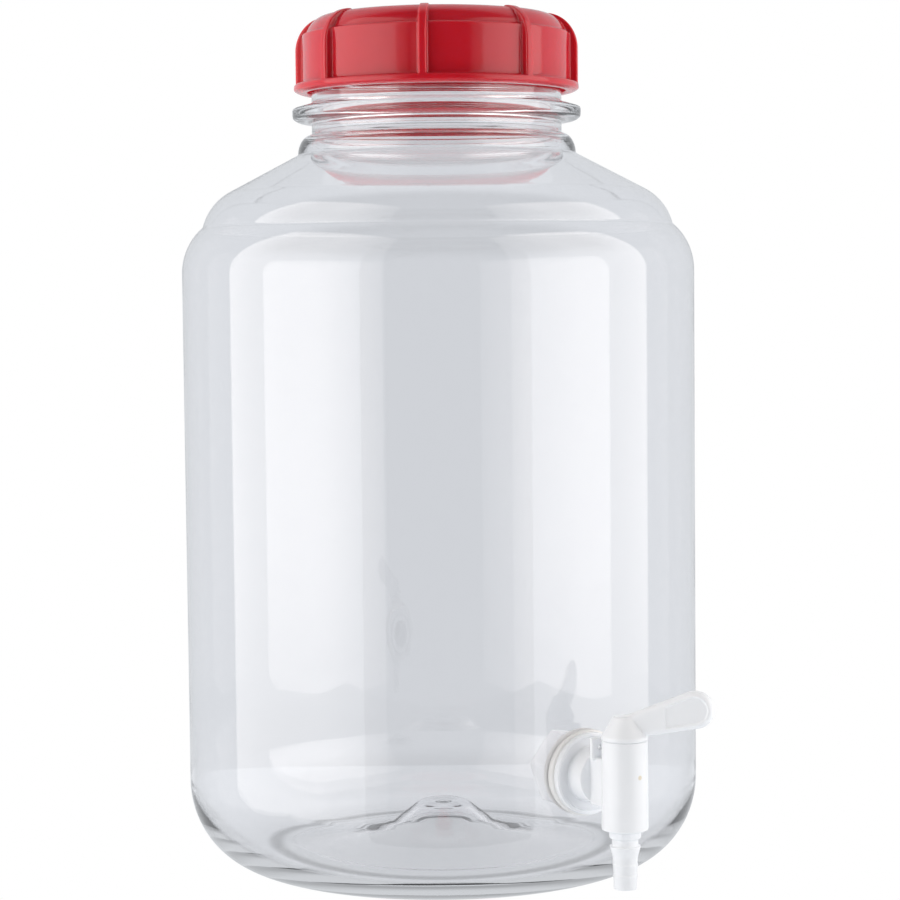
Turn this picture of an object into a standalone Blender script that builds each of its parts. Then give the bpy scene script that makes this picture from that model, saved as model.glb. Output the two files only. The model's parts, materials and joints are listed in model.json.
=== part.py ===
"""A clear plastic carboy with a red screw lid and a white lever tap.

Run it from Blender's text editor, or with: blender --background --python part.py
Units are metres, with +Z up. The tap points along -Y. The origin is on the floor,
under the middle of the space that bottle and tap take up together.
"""

from math import asin, cos, degrees, hypot, pi, radians, sin, sqrt, tan

import bmesh
import bpy
from mathutils import Matrix

# Room between pieces, and how shapes are sunk and cut
GAP = 0.0003                    # between two pieces that touch
SINK = 0.0005                   # how far one shape enters another before they are joined
OVERRUN = 0.002                 # how far a cutter passes the face that it cuts
WELD = 0.00001                  # points closer than this are one point

# Bottle body, from the floor up
BODY_RADIUS = 0.115
BODY_WALL = 0.0014
BASE_THICKNESS = 0.0045
STAND_OUTER_RADIUS = 0.0805
STAND_WIDTH = 0.0105            # of the flat ring that it stands on
PUNT_HEIGHT = 0.0221            # how far the base is pushed up in the middle
PUNT_TIP_RADIUS = 0.0096        # of the small flat at its top
HEEL_HEIGHT = 0.0385
WALL_HEIGHT = 0.2282            # straight wall, from the heel to the shoulder
LOWER_SHOULDER_RADIUS = 0.0269
UPPER_SHOULDER_RADIUS = 0.0247
NOTCH_SLOPE = 40.3              # degrees from level, just below the step
STEP_SLOPE = 75.7               # degrees from level, just above the step
CONE_SLOPE = 27.8               # degrees from level, up to the collar
COLLAR_RADIUS = 0.0624
COLLAR_HEIGHT = 0.0090

# Bottle neck, from the collar up
NECK_RADIUS = 0.0561
NECK_WALL = 0.0022
NECK_BELOW_RING = 0.0035
RING_RADIUS = 0.0646
RING_ROOT_HEIGHT = 0.0105
RING_TIP_HEIGHT = 0.0046
RING_TIP_ROUND = 0.0009
FINISH_HEIGHT = 0.0263          # threaded length above the ring
RIM_ROUND = 0.0006

# Screw thread of neck and lid
THREAD_LEAD = 0.008
THREAD_DEPTH = 0.0014
THREAD_ROOT_WIDTH = 0.0034
THREAD_CREST_WIDTH = 0.0016
THREAD_ROOM = 0.0005            # from a crest to the wall that faces it
THREAD_SIDE_ROOM = 0.0005       # along the axis, between the flanks that bear
THREAD_START = 0.0072           # from the ring's top to the middle of the lowest turn
NECK_TURNS = 1.75
LID_TURNS = 1.25
LID_FIRST_TURN = 0.5            # where the lid's thread starts, counted from the neck's

# Gasket and lid
GASKET_THICKNESS = 0.0020
GASKET_WIDTH = 0.0045
GASKET_PAST_NECK = 0.0007
LID_ABOVE_RING = 0.0046
LID_WALL = 0.0020
LID_CROWN_HEIGHT = 0.0103       # from the gasket's seat to the top of the ribs
LID_TOP_THICKNESS = 0.0022
LIP_HEIGHT = 0.0026
LIP_WIDTH = 0.0046
RIB_DEPTH = 0.0036
RIB_WIDTH = 0.0035
RIB_PROUD = 0.0006              # how far the ribs stand above the lid's top
RIB_COUNT = 8
RIB_TURN = 8.6                  # degrees, as the lid stands when screwed down
CROWN_ROUND_WIDTH = 0.0144
CROWN_ROUND_HEIGHT = 0.0156
BAND_SET_BACK = 0.0003          # of the upper band's curve, besides the ribs' depth
BAND_HEIGHT = 0.0088            # from the ledge to the top of the ribs
SEAT_WIDTH = 0.0065
DOME_SLANT = 0.0060

# Tap, along its own line from the bottle's axis, which it leaves at port height
PORT_HEIGHT = 0.0572
PORT_RADIUS = 0.0127
WASHER_RADIUS = 0.0181
OUTER_WASHER_THICKNESS = 0.0015
INNER_WASHER_THICKNESS = 0.0012
TUBE_RADIUS = 0.0112
TUBE_BORE = 0.0080
TUBE_PAST_NUT = 0.0006
TUBE_LEAD = 0.0023
TUBE_THREAD_DEPTH = 0.0008
TUBE_THREAD_ROOT_WIDTH = 0.0012
TUBE_THREAD_CREST_WIDTH = 0.0005
TUBE_THREAD_ROOM = 0.0003
NUT_THICKNESS = 0.0122
NUT_ACROSS_FLATS = 0.0299
NUT_CHAMFER = 0.0008
NUT_TURN = 20.5                 # degrees
FLANGE_RADIUS = 0.0172
FLANGE_THICKNESS = 0.0014
FLANGE_RIM_HEIGHT = 0.0014
FLANGE_RIM_WIDTH = 0.0017
COLLAR_TUBE_RADIUS = 0.0114
COLLAR_TUBE_LENGTH = 0.0097
BOSS_WIDTH = 0.0128
BOSS_ABOVE_PORT = 0.0094
BOSS_BELOW_PORT = 0.0109
BOSS_LENGTH = 0.0060            # from the collar tube to the barrel
TAB_WIDTH = 0.0162
TAB_THICKNESS = 0.0022
TAB_PAST_COLLAR = 0.0017        # from the collar tube's end to the tab
TAB_ROOT = 0.0010               # how far the tab reaches down into the boss
TAB_HOLE_RADIUS = 0.0010
TAB_HOLE_SIDE = 0.0041
TAB_BELOW_BARREL_TOP = 0.0004

# Barrel and the plug that turns in it
BARREL_RADIUS = 0.0094          # at the top
BARREL_FLARE = 0.0002           # how much wider the foot is
BARREL_BELOW_PORT = 0.0190
BARREL_ABOVE_PORT = 0.0179
BARREL_CHAMFER = 0.0006
PLUG_RADIUS = 0.0074            # at the barrel's top
PLUG_TAPER = 0.0008             # how much thinner the plug is at the barrel's foot
PLUG_PAST_BARREL = 0.0034
PLUG_BORE = 0.0046
PLUG_PORT_RADIUS = 0.0042
PLUG_BORE_PAST_PORT = 0.0018
HEAD_RADIUS = 0.0096
HEAD_RIM_HEIGHT = 0.0016
HEAD_CONE_HEIGHT = 0.0078
HEAD_TOP_RADIUS = 0.0045
SPOUT_RADIUS = 0.0054
SPOUT_BORE = 0.0034
SPOUT_NECK_LENGTH = 0.0032
SPOUT_LENGTH = 0.0211           # from the plug's end to the tip
SPOUT_TIP_RADIUS = 0.0045
TOP_BARB_RADIUS = 0.0065
TOP_BARB_HEIGHT = 0.0045
BARB_HEIGHT = 0.0020
BARB_PROUD = 0.0004
LOWER_BARB_SHARES = (0.42, 0.67)   # how far down from the top barb the two small ones sit

# Lever, from the plug's axis outwards
LEVER_ANGLE = 45.0              # degrees from straight out to where it stands
LEVER_REACH = 0.0290            # to the middle of the round tip
LEVER_TIP_RADIUS = 0.0078
LEVER_TIP_RISE = 0.0035         # from the head's top to the middle of the tip
LEVER_TOP_SLOPE = 21.7          # degrees
LEVER_BOTTOM_SLOPE = 10.3       # degrees
LEVER_PAST_AXIS = 0.0010        # how far the lever's root passes the plug's axis
LEVER_THICKNESS = 0.0060
LEVER_ROUND = 0.0019
PANEL_START = 0.0125
PANEL_BORDER = 0.0022
PANEL_DEPTH = 0.0007

# How finely round shapes are stepped
BOTTLE_STEPS = 48
TAP_STEPS = 24
ARC_STEPS = 5

# Shares of the base's rise, from its rim to its middle, and of the heel's thinning
PUNT_RADIUS_SHARES = (0.0, 0.11, 0.24, 0.42, 0.66)
PUNT_CURVE = 2.3
THREAD_END_SHARE = 0.2          # height of a thread's first section, still inside the wall
THREAD_FADE_SHARE = 0.12        # part of a turn over which a thread reaches its full height

# Levels that follow from the sizes above
SHOULDER_Z = HEEL_HEIGHT + WALL_HEIGHT
STAND_INNER_RADIUS = STAND_OUTER_RADIUS - STAND_WIDTH
PUNT_WIDTH = STAND_INNER_RADIUS - PUNT_TIP_RADIUS
LOWER_SWEEP = 90 - NOTCH_SLOPE
LOWER_CENTRE_RADIUS = BODY_RADIUS - LOWER_SHOULDER_RADIUS
NOTCH_RADIUS = LOWER_CENTRE_RADIUS + LOWER_SHOULDER_RADIUS * cos(radians(LOWER_SWEEP))
NOTCH_Z = SHOULDER_Z + LOWER_SHOULDER_RADIUS * sin(radians(LOWER_SWEEP))
UPPER_CENTRE_RADIUS = NOTCH_RADIUS - UPPER_SHOULDER_RADIUS * sin(radians(STEP_SLOPE))
UPPER_CENTRE_Z = NOTCH_Z - UPPER_SHOULDER_RADIUS * cos(radians(STEP_SLOPE))
CONE_RADIUS = UPPER_CENTRE_RADIUS + UPPER_SHOULDER_RADIUS * sin(radians(CONE_SLOPE))
CONE_Z = UPPER_CENTRE_Z + UPPER_SHOULDER_RADIUS * cos(radians(CONE_SLOPE))
COLLAR_Z = CONE_Z + (CONE_RADIUS - COLLAR_RADIUS) * tan(radians(CONE_SLOPE))
RING_Z = COLLAR_Z + COLLAR_HEIGHT + NECK_BELOW_RING
RING_TOP_Z = RING_Z + RING_ROOT_HEIGHT
RIM_Z = RING_TOP_Z + FINISH_HEIGHT
GASKET_Z = RIM_Z + GAP
SEAT_Z = GASKET_Z + GASKET_THICKNESS + GAP
RIB_TOP_Z = SEAT_Z + LID_CROWN_HEIGHT
LID_TOP_Z = RIB_TOP_Z - RIB_PROUD
LID_Z = RING_TOP_Z + LID_ABOVE_RING
LID_BORE = NECK_RADIUS + THREAD_DEPTH + THREAD_ROOM
LID_RADIUS = LID_BORE + LID_WALL
RIB_RADIUS = LID_RADIUS + RIB_DEPTH

# Places along the tap's line
WASHER_OUT = BODY_RADIUS + GAP + OUTER_WASHER_THICKNESS
WALL_IN = BODY_RADIUS - BODY_WALL - GAP
WASHER_IN = sqrt(WALL_IN ** 2 - WASHER_RADIUS ** 2) - INNER_WASHER_THICKNESS
NUT_OUT = WASHER_IN - GAP
NUT_IN = NUT_OUT - NUT_THICKNESS
TUBE_END = NUT_IN - TUBE_PAST_NUT
FLANGE_IN = WASHER_OUT + GAP
FLANGE_OUT = FLANGE_IN + FLANGE_THICKNESS
COLLAR_OUT = FLANGE_OUT + COLLAR_TUBE_LENGTH
BARREL_OUT = COLLAR_OUT + BOSS_LENGTH + BARREL_RADIUS
TUBE_CREST = TUBE_RADIUS + TUBE_THREAD_DEPTH
NUT_BORE = TUBE_CREST + TUBE_THREAD_ROOM

# Heights of barrel, plug and lever
BARREL_Z = PORT_HEIGHT - BARREL_BELOW_PORT
BARREL_TOP_Z = PORT_HEIGHT + BARREL_ABOVE_PORT
HEAD_Z = BARREL_TOP_Z + GAP
HEAD_TOP_Z = HEAD_Z + HEAD_RIM_HEIGHT + HEAD_CONE_HEIGHT
PLUG_Z = BARREL_Z - PLUG_PAST_BARREL
SPOUT_Z = PLUG_Z - SPOUT_LENGTH
LEVER_TIP_Z = HEAD_TOP_Z + LEVER_TIP_RISE

# How far the whole reaches forward, which puts the origin in its middle
LEVER_ALONG = (LEVER_REACH + LEVER_TIP_RADIUS) * cos(radians(LEVER_ANGLE))
LEVER_FORWARD = LEVER_ALONG + LEVER_THICKNESS / 2 * sin(radians(LEVER_ANGLE))
FRONT_REACH = BARREL_OUT + max(LEVER_FORWARD, HEAD_RADIUS)
AXIS_Y = (FRONT_REACH - BODY_RADIUS) / 2


def clear_scene():
    """Remove every object, so that the script can be run again."""
    for item in list(bpy.data.objects):
        bpy.data.objects.remove(item, do_unlink=True)


def new_collection(name):
    """Return an empty collection under the scene."""
    group = bpy.data.collections.new(name)
    bpy.context.scene.collection.children.link(group)
    return group


def plastic(name, colour, roughness, alpha=1.0):
    """Make a Principled material for one moulded piece."""
    material = bpy.data.materials.new(name)
    material.use_nodes = True
    shader = material.node_tree.nodes["Principled BSDF"]
    shader.inputs["Base Color"].default_value = (*colour, 1.0)
    shader.inputs["Roughness"].default_value = roughness
    shader.inputs["Metallic"].default_value = 0.0
    shader.inputs["Alpha"].default_value = alpha
    return material


def place(mesh, name, material=None, parent=None, turn=None):
    """Make an object of a mesh: a part if it has a material, otherwise a hidden cutter."""
    item = bpy.data.objects.new(name, mesh)
    if material:
        PARTS.objects.link(item)
        mesh.materials.append(material)
    else:
        CUTTERS.objects.link(item)
        item.hide_render = True
        item.display_type = "WIRE"
    if turn is not None:
        item.matrix_local = turn
    item.parent = parent or ROOT
    return item


def arc(centre_r, centre_z, width, height, start, end, steps=ARC_STEPS):
    """Points of an ellipse's arc, as (radius, z), between two angles in degrees from level."""
    angles = [radians(start + (end - start) * i / steps) for i in range(steps + 1)]
    return [(centre_r + width * cos(a), centre_z + height * sin(a)) for a in angles]


def turned(name, profile, steps, **where):
    """Turn a profile of (radius, z) about Z. It runs down the outside, top to bottom."""
    mesh = bpy.data.meshes.new(name)
    ends_on_axis = profile[0][0] == 0 and profile[-1][0] == 0
    edges = [(i, i + 1) for i in range(len(profile) - 1)]
    if not ends_on_axis:
        edges.append((len(profile) - 1, 0))
    mesh.from_pydata([(r, 0, z) for r, z in profile], edges, [])
    item = place(mesh, name, **where)
    screw = item.modifiers.new("Turn", "SCREW")
    screw.steps = steps
    screw.render_steps = steps
    screw.use_merge_vertices = True
    screw.merge_threshold = WELD
    return item


def box(name, low, high, **where):
    """A box between two corners."""
    mesh = bpy.data.meshes.new(name)
    shape = bmesh.new()
    bmesh.ops.create_cube(shape, size=1)
    size = [b - a for a, b in zip(low, high)]
    middle = [(a + b) / 2 for a, b in zip(low, high)]
    fit = Matrix.Translation(middle) @ Matrix.Diagonal((*size, 1))
    bmesh.ops.transform(shape, matrix=fit, verts=shape.verts)
    shape.to_mesh(mesh)
    shape.free()
    return place(mesh, name, **where)


def prism(name, sides, radius, bottom, top, **where):
    """An upright prism or cylinder about Z."""
    mesh = bpy.data.meshes.new(name)
    shape = bmesh.new()
    lift = Matrix.Translation((0, 0, (bottom + top) / 2))
    bmesh.ops.create_cone(
        shape, cap_ends=True, segments=sides, radius1=radius, radius2=radius, depth=top - bottom, matrix=lift
    )
    shape.to_mesh(mesh)
    shape.free()
    return place(mesh, name, **where)


def plate(name, outline, thickness, **where):
    """A flat outline, drawn as (out, up), made into a plate that stands in the XZ plane."""
    curve = bpy.data.curves.new(name, "CURVE")
    curve.dimensions = "2D"
    curve.fill_mode = "BOTH"
    curve.extrude = thickness / 2
    spline = curve.splines.new("POLY")
    spline.points.add(len(outline) - 1)
    for point, (out, up) in zip(spline.points, outline):
        point.co = (out, up, 0, 1)
    spline.use_cyclic_u = True
    drawing = bpy.data.objects.new(name + "_drawing", curve)
    CUTTERS.objects.link(drawing)
    bpy.context.view_layer.update()
    mesh = bpy.data.meshes.new_from_object(drawing.evaluated_get(bpy.context.evaluated_depsgraph_get()))
    bpy.data.objects.remove(drawing, do_unlink=True)
    shape = bmesh.new()
    shape.from_mesh(mesh)
    bmesh.ops.remove_doubles(shape, verts=shape.verts, dist=WELD)
    bmesh.ops.rotate(shape, cent=(0, 0, 0), matrix=Matrix.Rotation(pi / 2, 3, "X"), verts=shape.verts)
    bmesh.ops.recalc_face_normals(shape, faces=shape.faces)
    shape.to_mesh(mesh)
    shape.free()
    return place(mesh, name, **where)


def thread(name, wall, crest, widths, lead, start_z, first_turn, turns, steps, **where):
    """A screw thread's ridge on a round wall, which fades into the wall at both ends.

    It is a loft by hand, because its section changes along the way.
    """
    root = wall + (SINK if crest < wall else -SINK)
    count = round(turns * steps)
    fade = max(1, round(THREAD_FADE_SHARE * steps))
    shape = bmesh.new()
    sections = []
    for i in range(count + 1):
        turn = first_turn + i / steps
        angle = 2 * pi * turn
        full = min(1, THREAD_END_SHARE + (1 - THREAD_END_SHARE) * min(i, count - i) / fade)
        tip = root + (crest - root) * full
        middle = start_z + lead * turn
        corners = ((root, -widths[0]), (tip, -widths[1]), (tip, widths[1]), (root, widths[0]))
        points = [(r * cos(angle), r * sin(angle), middle + w / 2) for r, w in corners]
        sections.append([shape.verts.new(point) for point in points])
    for one, two in zip(sections, sections[1:]):
        for i in range(4):
            shape.faces.new((one[i - 1], one[i], two[i], two[i - 1]))
    shape.faces.new(sections[0])
    shape.faces.new(sections[-1])
    bmesh.ops.recalc_face_normals(shape, faces=shape.faces)
    mesh = bpy.data.meshes.new(name)
    shape.to_mesh(mesh)
    shape.free()
    return place(mesh, name, **where)


def combine(item, operation, *others):
    """Join other shapes to an object, or cut them out of it."""
    for other in others:
        step = item.modifiers.new(other.name, "BOOLEAN")
        step.operation = operation
        step.solver = "EXACT"
        step.object = other


def smooth(*items):
    """Shade round pieces smooth, but keep their real edges sharp."""
    for item in items:
        item.data.shade_smooth()
        item.data.set_sharp_from_angle(angle=radians(35))


def inset(path):
    """Shift a path of (radius, z, wall) inwards by its own wall thickness at each point."""
    result = []
    for i, (r, z, wall) in enumerate(path):
        normals = []
        for a, b in ((i - 1, i), (i, i + 1)):
            if a < 0 or b >= len(path):
                continue
            run, rise = path[b][0] - path[a][0], path[b][1] - path[a][1]
            length = hypot(run, rise)
            normals.append((-rise / length, run / length))
        across, up = (sum(part) / len(normals) for part in zip(*normals))
        size = across ** 2 + up ** 2
        result.append((max(0.0, r + wall * across / size) if r > 0 else 0.0, z + wall * up / size))
    return result


def bottle_skin():
    """The bottle's outer path without its ring, from the middle of the base to the rim."""
    punt = [
        (PUNT_TIP_RADIUS + PUNT_WIDTH * share, PUNT_HEIGHT * (1 - share) ** PUNT_CURVE, BASE_THICKNESS)
        for share in PUNT_RADIUS_SHARES
    ]
    punt.insert(0, (0, PUNT_HEIGHT, BASE_THICKNESS))
    stand = [(STAND_INNER_RADIUS, 0.0, BASE_THICKNESS), (STAND_OUTER_RADIUS, 0.0, BASE_THICKNESS)]
    heel = []
    heel_points = arc(STAND_OUTER_RADIUS, HEEL_HEIGHT, BODY_RADIUS - STAND_OUTER_RADIUS, HEEL_HEIGHT, -90, 0)
    for i, (r, z) in enumerate(heel_points[1:], 1):
        thinning = (BASE_THICKNESS - BODY_WALL) * (1 - i / (len(heel_points) - 1))
        heel.append((r, z, BODY_WALL + thinning))
    lower = arc(LOWER_CENTRE_RADIUS, SHOULDER_Z, LOWER_SHOULDER_RADIUS, LOWER_SHOULDER_RADIUS, 0, LOWER_SWEEP)
    upper = arc(
        UPPER_CENTRE_RADIUS, UPPER_CENTRE_Z, UPPER_SHOULDER_RADIUS, UPPER_SHOULDER_RADIUS,
        90 - STEP_SLOPE, 90 - CONE_SLOPE,
    )
    shoulder = [(r, z, BODY_WALL) for r, z in lower + upper[1:]]
    collar_points = arc(NECK_RADIUS, COLLAR_Z, COLLAR_RADIUS - NECK_RADIUS, COLLAR_HEIGHT, 0, 90)
    collar = [
        (r, z, BODY_WALL + (NECK_WALL - BODY_WALL) * i / (len(collar_points) - 1))
        for i, (r, z) in enumerate(collar_points)
    ]
    rim = [(NECK_RADIUS, RIM_Z, NECK_WALL)]
    return punt + stand + heel + shoulder + collar + rim


def bottle_profile():
    """The bottle's closed section: up the inside from its axis, over the rim, down the outside."""
    skin = bottle_skin()
    inside = inset(skin)
    middle = (RING_Z + RING_TOP_Z) / 2
    ring = [
        (NECK_RADIUS, RING_TOP_Z),
        (RING_RADIUS - RING_TIP_ROUND, middle + RING_TIP_HEIGHT / 2),
        (RING_RADIUS, middle + RING_TIP_HEIGHT / 2 - RING_TIP_ROUND),
        (RING_RADIUS, middle - RING_TIP_HEIGHT / 2 + RING_TIP_ROUND),
        (RING_RADIUS - RING_TIP_ROUND, middle - RING_TIP_HEIGHT / 2),
        (NECK_RADIUS, RING_Z),
    ]
    rim = [
        (NECK_RADIUS - NECK_WALL, RIM_Z),
        (NECK_RADIUS - RIM_ROUND, RIM_Z),
        (NECK_RADIUS, RIM_Z - RIM_ROUND),
    ]
    outside = [(r, z) for r, z, wall in reversed(skin[:-1])]
    return inside[:-1] + rim + ring + outside


def make_bottle(material):
    """One blown bottle with its neck thread and the drilled port for the tap."""
    bottle = turned("bottle", bottle_profile(), BOTTLE_STEPS, material=material)
    ridge = thread(
        "neck_thread", NECK_RADIUS, NECK_RADIUS + THREAD_DEPTH, (THREAD_ROOT_WIDTH, THREAD_CREST_WIDTH),
        THREAD_LEAD, RING_TOP_Z + THREAD_START, 0, NECK_TURNS, BOTTLE_STEPS,
    )
    port = prism("port_hole", TAP_STEPS, PORT_RADIUS, NUT_IN, FLANGE_OUT, turn=ALONG_TAP)
    combine(bottle, "UNION", ridge)
    combine(bottle, "DIFFERENCE", port)
    return bottle


def make_gasket(material):
    """The flat sealing ring between rim and lid."""
    outer = NECK_RADIUS + GASKET_PAST_NECK
    inner = outer - GASKET_WIDTH
    top = GASKET_Z + GASKET_THICKNESS
    profile = [(inner, top), (outer, top), (outer, GASKET_Z), (inner, GASKET_Z)]
    return turned("lid_gasket", profile, BOTTLE_STEPS, material=material)


def crown(shrink_r, shrink_z, from_z):
    """The round top edge of lid or rib, top to bottom, drawn in by two amounts down to a height."""
    width, height = CROWN_ROUND_WIDTH - shrink_r, CROWN_ROUND_HEIGHT - shrink_z
    centre_z = RIB_TOP_Z - CROWN_ROUND_HEIGHT
    rise = min(max((from_z - centre_z) / height, 0), 1)
    return arc(RIB_RADIUS - CROWN_ROUND_WIDTH, centre_z, width, height, 90, degrees(asin(rise)))


def make_lid(material):
    """The screw cap: skirt, lip, stepped crown, hollow with a gasket seat, thread and ribs."""
    ledge_z = RIB_TOP_Z - BAND_HEIGHT
    seat_in = LID_BORE - SEAT_WIDTH
    gasket_bore = NECK_RADIUS + GASKET_PAST_NECK + GAP
    ceiling = LID_TOP_Z - LID_TOP_THICKNESS
    lip_radius = LID_RADIUS + LIP_WIDTH
    outside = [(0, LID_TOP_Z)] + crown(RIB_DEPTH + BAND_SET_BACK, RIB_PROUD, ledge_z) + [
        (LID_RADIUS, ledge_z),
        (LID_RADIUS, LID_Z + LIP_HEIGHT),
        (lip_radius, LID_Z + LIP_HEIGHT),
        (lip_radius, LID_Z),
    ]
    inside = [
        (LID_BORE, LID_Z),
        (LID_BORE, GASKET_Z - THREAD_ROOM),
        (gasket_bore, GASKET_Z),
        (gasket_bore, SEAT_Z),
        (seat_in, SEAT_Z),
        (seat_in - LID_WALL, ceiling - LID_WALL),
        (seat_in - DOME_SLANT, ceiling),
        (0, ceiling),
    ]
    lid = turned("lid", outside + inside, BOTTLE_STEPS, material=material)
    flank = (THREAD_ROOT_WIDTH + THREAD_CREST_WIDTH) / 2 + THREAD_SIDE_ROOM
    ridge = thread(
        "lid_thread", LID_BORE, LID_BORE - THREAD_DEPTH, (THREAD_ROOT_WIDTH, THREAD_CREST_WIDTH),
        THREAD_LEAD, RING_TOP_Z + THREAD_START - flank, LID_FIRST_TURN, LID_TURNS, BOTTLE_STEPS,
    )
    combine(lid, "UNION", ridge)
    foot = LID_Z + LIP_HEIGHT / 2
    sunk_r = RIB_DEPTH + BAND_SET_BACK + LID_WALL / 2
    sunk_z = RIB_PROUD + LID_TOP_THICKNESS / 2
    inner_edge = crown(sunk_r, sunk_z, ledge_z)
    outer_edge = crown(0, 0, RIB_TOP_Z - CROWN_ROUND_HEIGHT)
    outline = [(RIB_RADIUS, foot), (LID_RADIUS - LID_WALL / 2, foot)] + inner_edge[::-1] + outer_edge
    for number in range(RIB_COUNT):
        angle = radians(RIB_TURN) + 2 * pi * number / RIB_COUNT
        rib = plate(f"rib_{number + 1}", outline, RIB_WIDTH, turn=Matrix.Rotation(angle, 4, "Z"))
        combine(lid, "UNION", rib)
    return lid


def make_washers(material):
    """The two soft washers, flat on one face and pressed to the wall's curve on the other."""
    outside = prism("wall_outside", BOTTLE_STEPS, BODY_RADIUS + GAP, 0, SHOULDER_Z)
    inside = prism("wall_inside", BOTTLE_STEPS, WALL_IN, 0, SHOULDER_Z)
    edge = sqrt(BODY_RADIUS ** 2 - WASHER_RADIUS ** 2) - OVERRUN
    washers = []
    for name, low, high in (("outer_washer", edge, WASHER_OUT), ("inner_washer", WASHER_IN, BODY_RADIUS)):
        ring = [(PORT_RADIUS, high), (WASHER_RADIUS, high), (WASHER_RADIUS, low), (PORT_RADIUS, low)]
        washers.append(turned(name, ring, TAP_STEPS, material=material, turn=ALONG_TAP))
    combine(washers[0], "DIFFERENCE", outside)
    combine(washers[1], "INTERSECT", inside)
    return washers


def make_nut(material):
    """The hexagonal back nut, with chamfered corners and its own thread."""
    corner = NUT_ACROSS_FLATS / 2 / cos(radians(30))
    turn = ALONG_TAP @ Matrix.Rotation(radians(NUT_TURN), 4, "Z")
    nut = prism("back_nut", 6, corner, NUT_IN, NUT_OUT, material=material, turn=turn)
    flat = corner - NUT_CHAMFER
    blank = [
        (0, NUT_OUT + GAP), (flat, NUT_OUT + GAP), (corner, NUT_OUT - NUT_CHAMFER),
        (corner, NUT_IN + NUT_CHAMFER), (flat, NUT_IN - GAP), (0, NUT_IN - GAP),
    ]
    combine(nut, "INTERSECT", turned("nut_blank", blank, TAP_STEPS, turn=ALONG_TAP))
    bore = prism("nut_bore", TAP_STEPS, NUT_BORE, NUT_IN - OVERRUN, NUT_OUT + OVERRUN, turn=ALONG_TAP)
    combine(nut, "DIFFERENCE", bore)
    turns = (NUT_THICKNESS - 2 * TUBE_THREAD_ROOT_WIDTH) / TUBE_LEAD
    ridge = thread(
        "nut_thread", NUT_BORE, NUT_BORE - TUBE_THREAD_DEPTH,
        (TUBE_THREAD_ROOT_WIDTH, TUBE_THREAD_CREST_WIDTH),
        TUBE_LEAD, NUT_IN + TUBE_THREAD_ROOT_WIDTH, 0, turns, TAP_STEPS, turn=ALONG_TAP,
    )
    combine(nut, "UNION", ridge)
    return nut


def make_tap_body(material):
    """Barrel, boss, collar, cupped flange and threaded inlet tube, all one moulding."""
    foot = BARREL_RADIUS + BARREL_FLARE
    barrel = [
        (0, BARREL_TOP_Z), (BARREL_RADIUS, BARREL_TOP_Z), (foot, BARREL_Z + BARREL_CHAMFER),
        (foot - BARREL_CHAMFER, BARREL_Z), (0, BARREL_Z),
    ]
    at_barrel = Matrix.Translation((0, -BARREL_OUT, 0))
    body = turned("tap_body", barrel, TAP_STEPS, material=material, turn=at_barrel)
    rim_out = FLANGE_OUT + FLANGE_RIM_HEIGHT
    rim_in = FLANGE_RADIUS - FLANGE_RIM_WIDTH
    inlet = [
        (0, COLLAR_OUT), (COLLAR_TUBE_RADIUS, COLLAR_OUT), (COLLAR_TUBE_RADIUS, FLANGE_OUT),
        (rim_in, FLANGE_OUT), (rim_in, rim_out), (FLANGE_RADIUS, rim_out), (FLANGE_RADIUS, FLANGE_IN),
        (TUBE_RADIUS, FLANGE_IN), (TUBE_RADIUS, TUBE_END), (0, TUBE_END),
    ]
    half = BOSS_WIDTH / 2
    boss_low, boss_high = PORT_HEIGHT - BOSS_BELOW_PORT, PORT_HEIGHT + BOSS_ABOVE_PORT
    boss = box("boss", (-half, -BARREL_OUT, boss_low), (half, SINK - COLLAR_OUT, boss_high))
    tab_y = -COLLAR_OUT - TAB_PAST_COLLAR
    tab_top = BARREL_TOP_Z - TAB_BELOW_BARREL_TOP
    tab_low = (-TAB_WIDTH / 2, tab_y - TAB_THICKNESS, boss_high - TAB_ROOT)
    tab = box("stop_tab", tab_low, (TAB_WIDTH / 2, tab_y, tab_top))
    hole_z = (boss_high + tab_top) / 2
    hole_turn = Matrix.Translation((-TAB_HOLE_SIDE, 0, hole_z)) @ Matrix.Rotation(pi / 2, 4, "X")
    hole = prism("tab_hole", TAP_STEPS // 2, TAB_HOLE_RADIUS, COLLAR_OUT, BARREL_OUT, turn=hole_turn)
    turns = (FLANGE_IN - OUTER_WASHER_THICKNESS - TUBE_END - 2 * TUBE_THREAD_ROOT_WIDTH) / TUBE_LEAD
    middle = TUBE_LEAD / 2 + TUBE_THREAD_ROOT_WIDTH + NUT_IN
    behind = TUBE_LEAD * ((middle - TUBE_END - TUBE_THREAD_ROOT_WIDTH) // TUBE_LEAD)
    ridge = thread(
        "tube_thread", TUBE_RADIUS, TUBE_CREST, (TUBE_THREAD_ROOT_WIDTH, TUBE_THREAD_CREST_WIDTH),
        TUBE_LEAD, middle - behind, 0, turns, TAP_STEPS, turn=ALONG_TAP,
    )
    combine(body, "UNION", turned("inlet", inlet, TAP_STEPS, turn=ALONG_TAP), ridge, boss, tab)
    combine(body, "DIFFERENCE", turned("barrel_bore", barrel_bore(), TAP_STEPS, turn=at_barrel))
    combine(body, "DIFFERENCE", turned("inlet_bore", inlet_bore(), TAP_STEPS, turn=ALONG_TAP), hole)
    return body


def plug_radius(z):
    """The plug's tapered radius at a height in the barrel."""
    down = (BARREL_TOP_Z - z) / (BARREL_TOP_Z - BARREL_Z)
    return PLUG_RADIUS - PLUG_TAPER * down


def barrel_bore():
    """The tapered hole that the plug sits in, as a cutter."""
    top, foot = BARREL_TOP_Z + OVERRUN, BARREL_Z - OVERRUN
    return [(0, top), (plug_radius(top) + GAP, top), (plug_radius(foot) + GAP, foot), (0, foot)]


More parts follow.
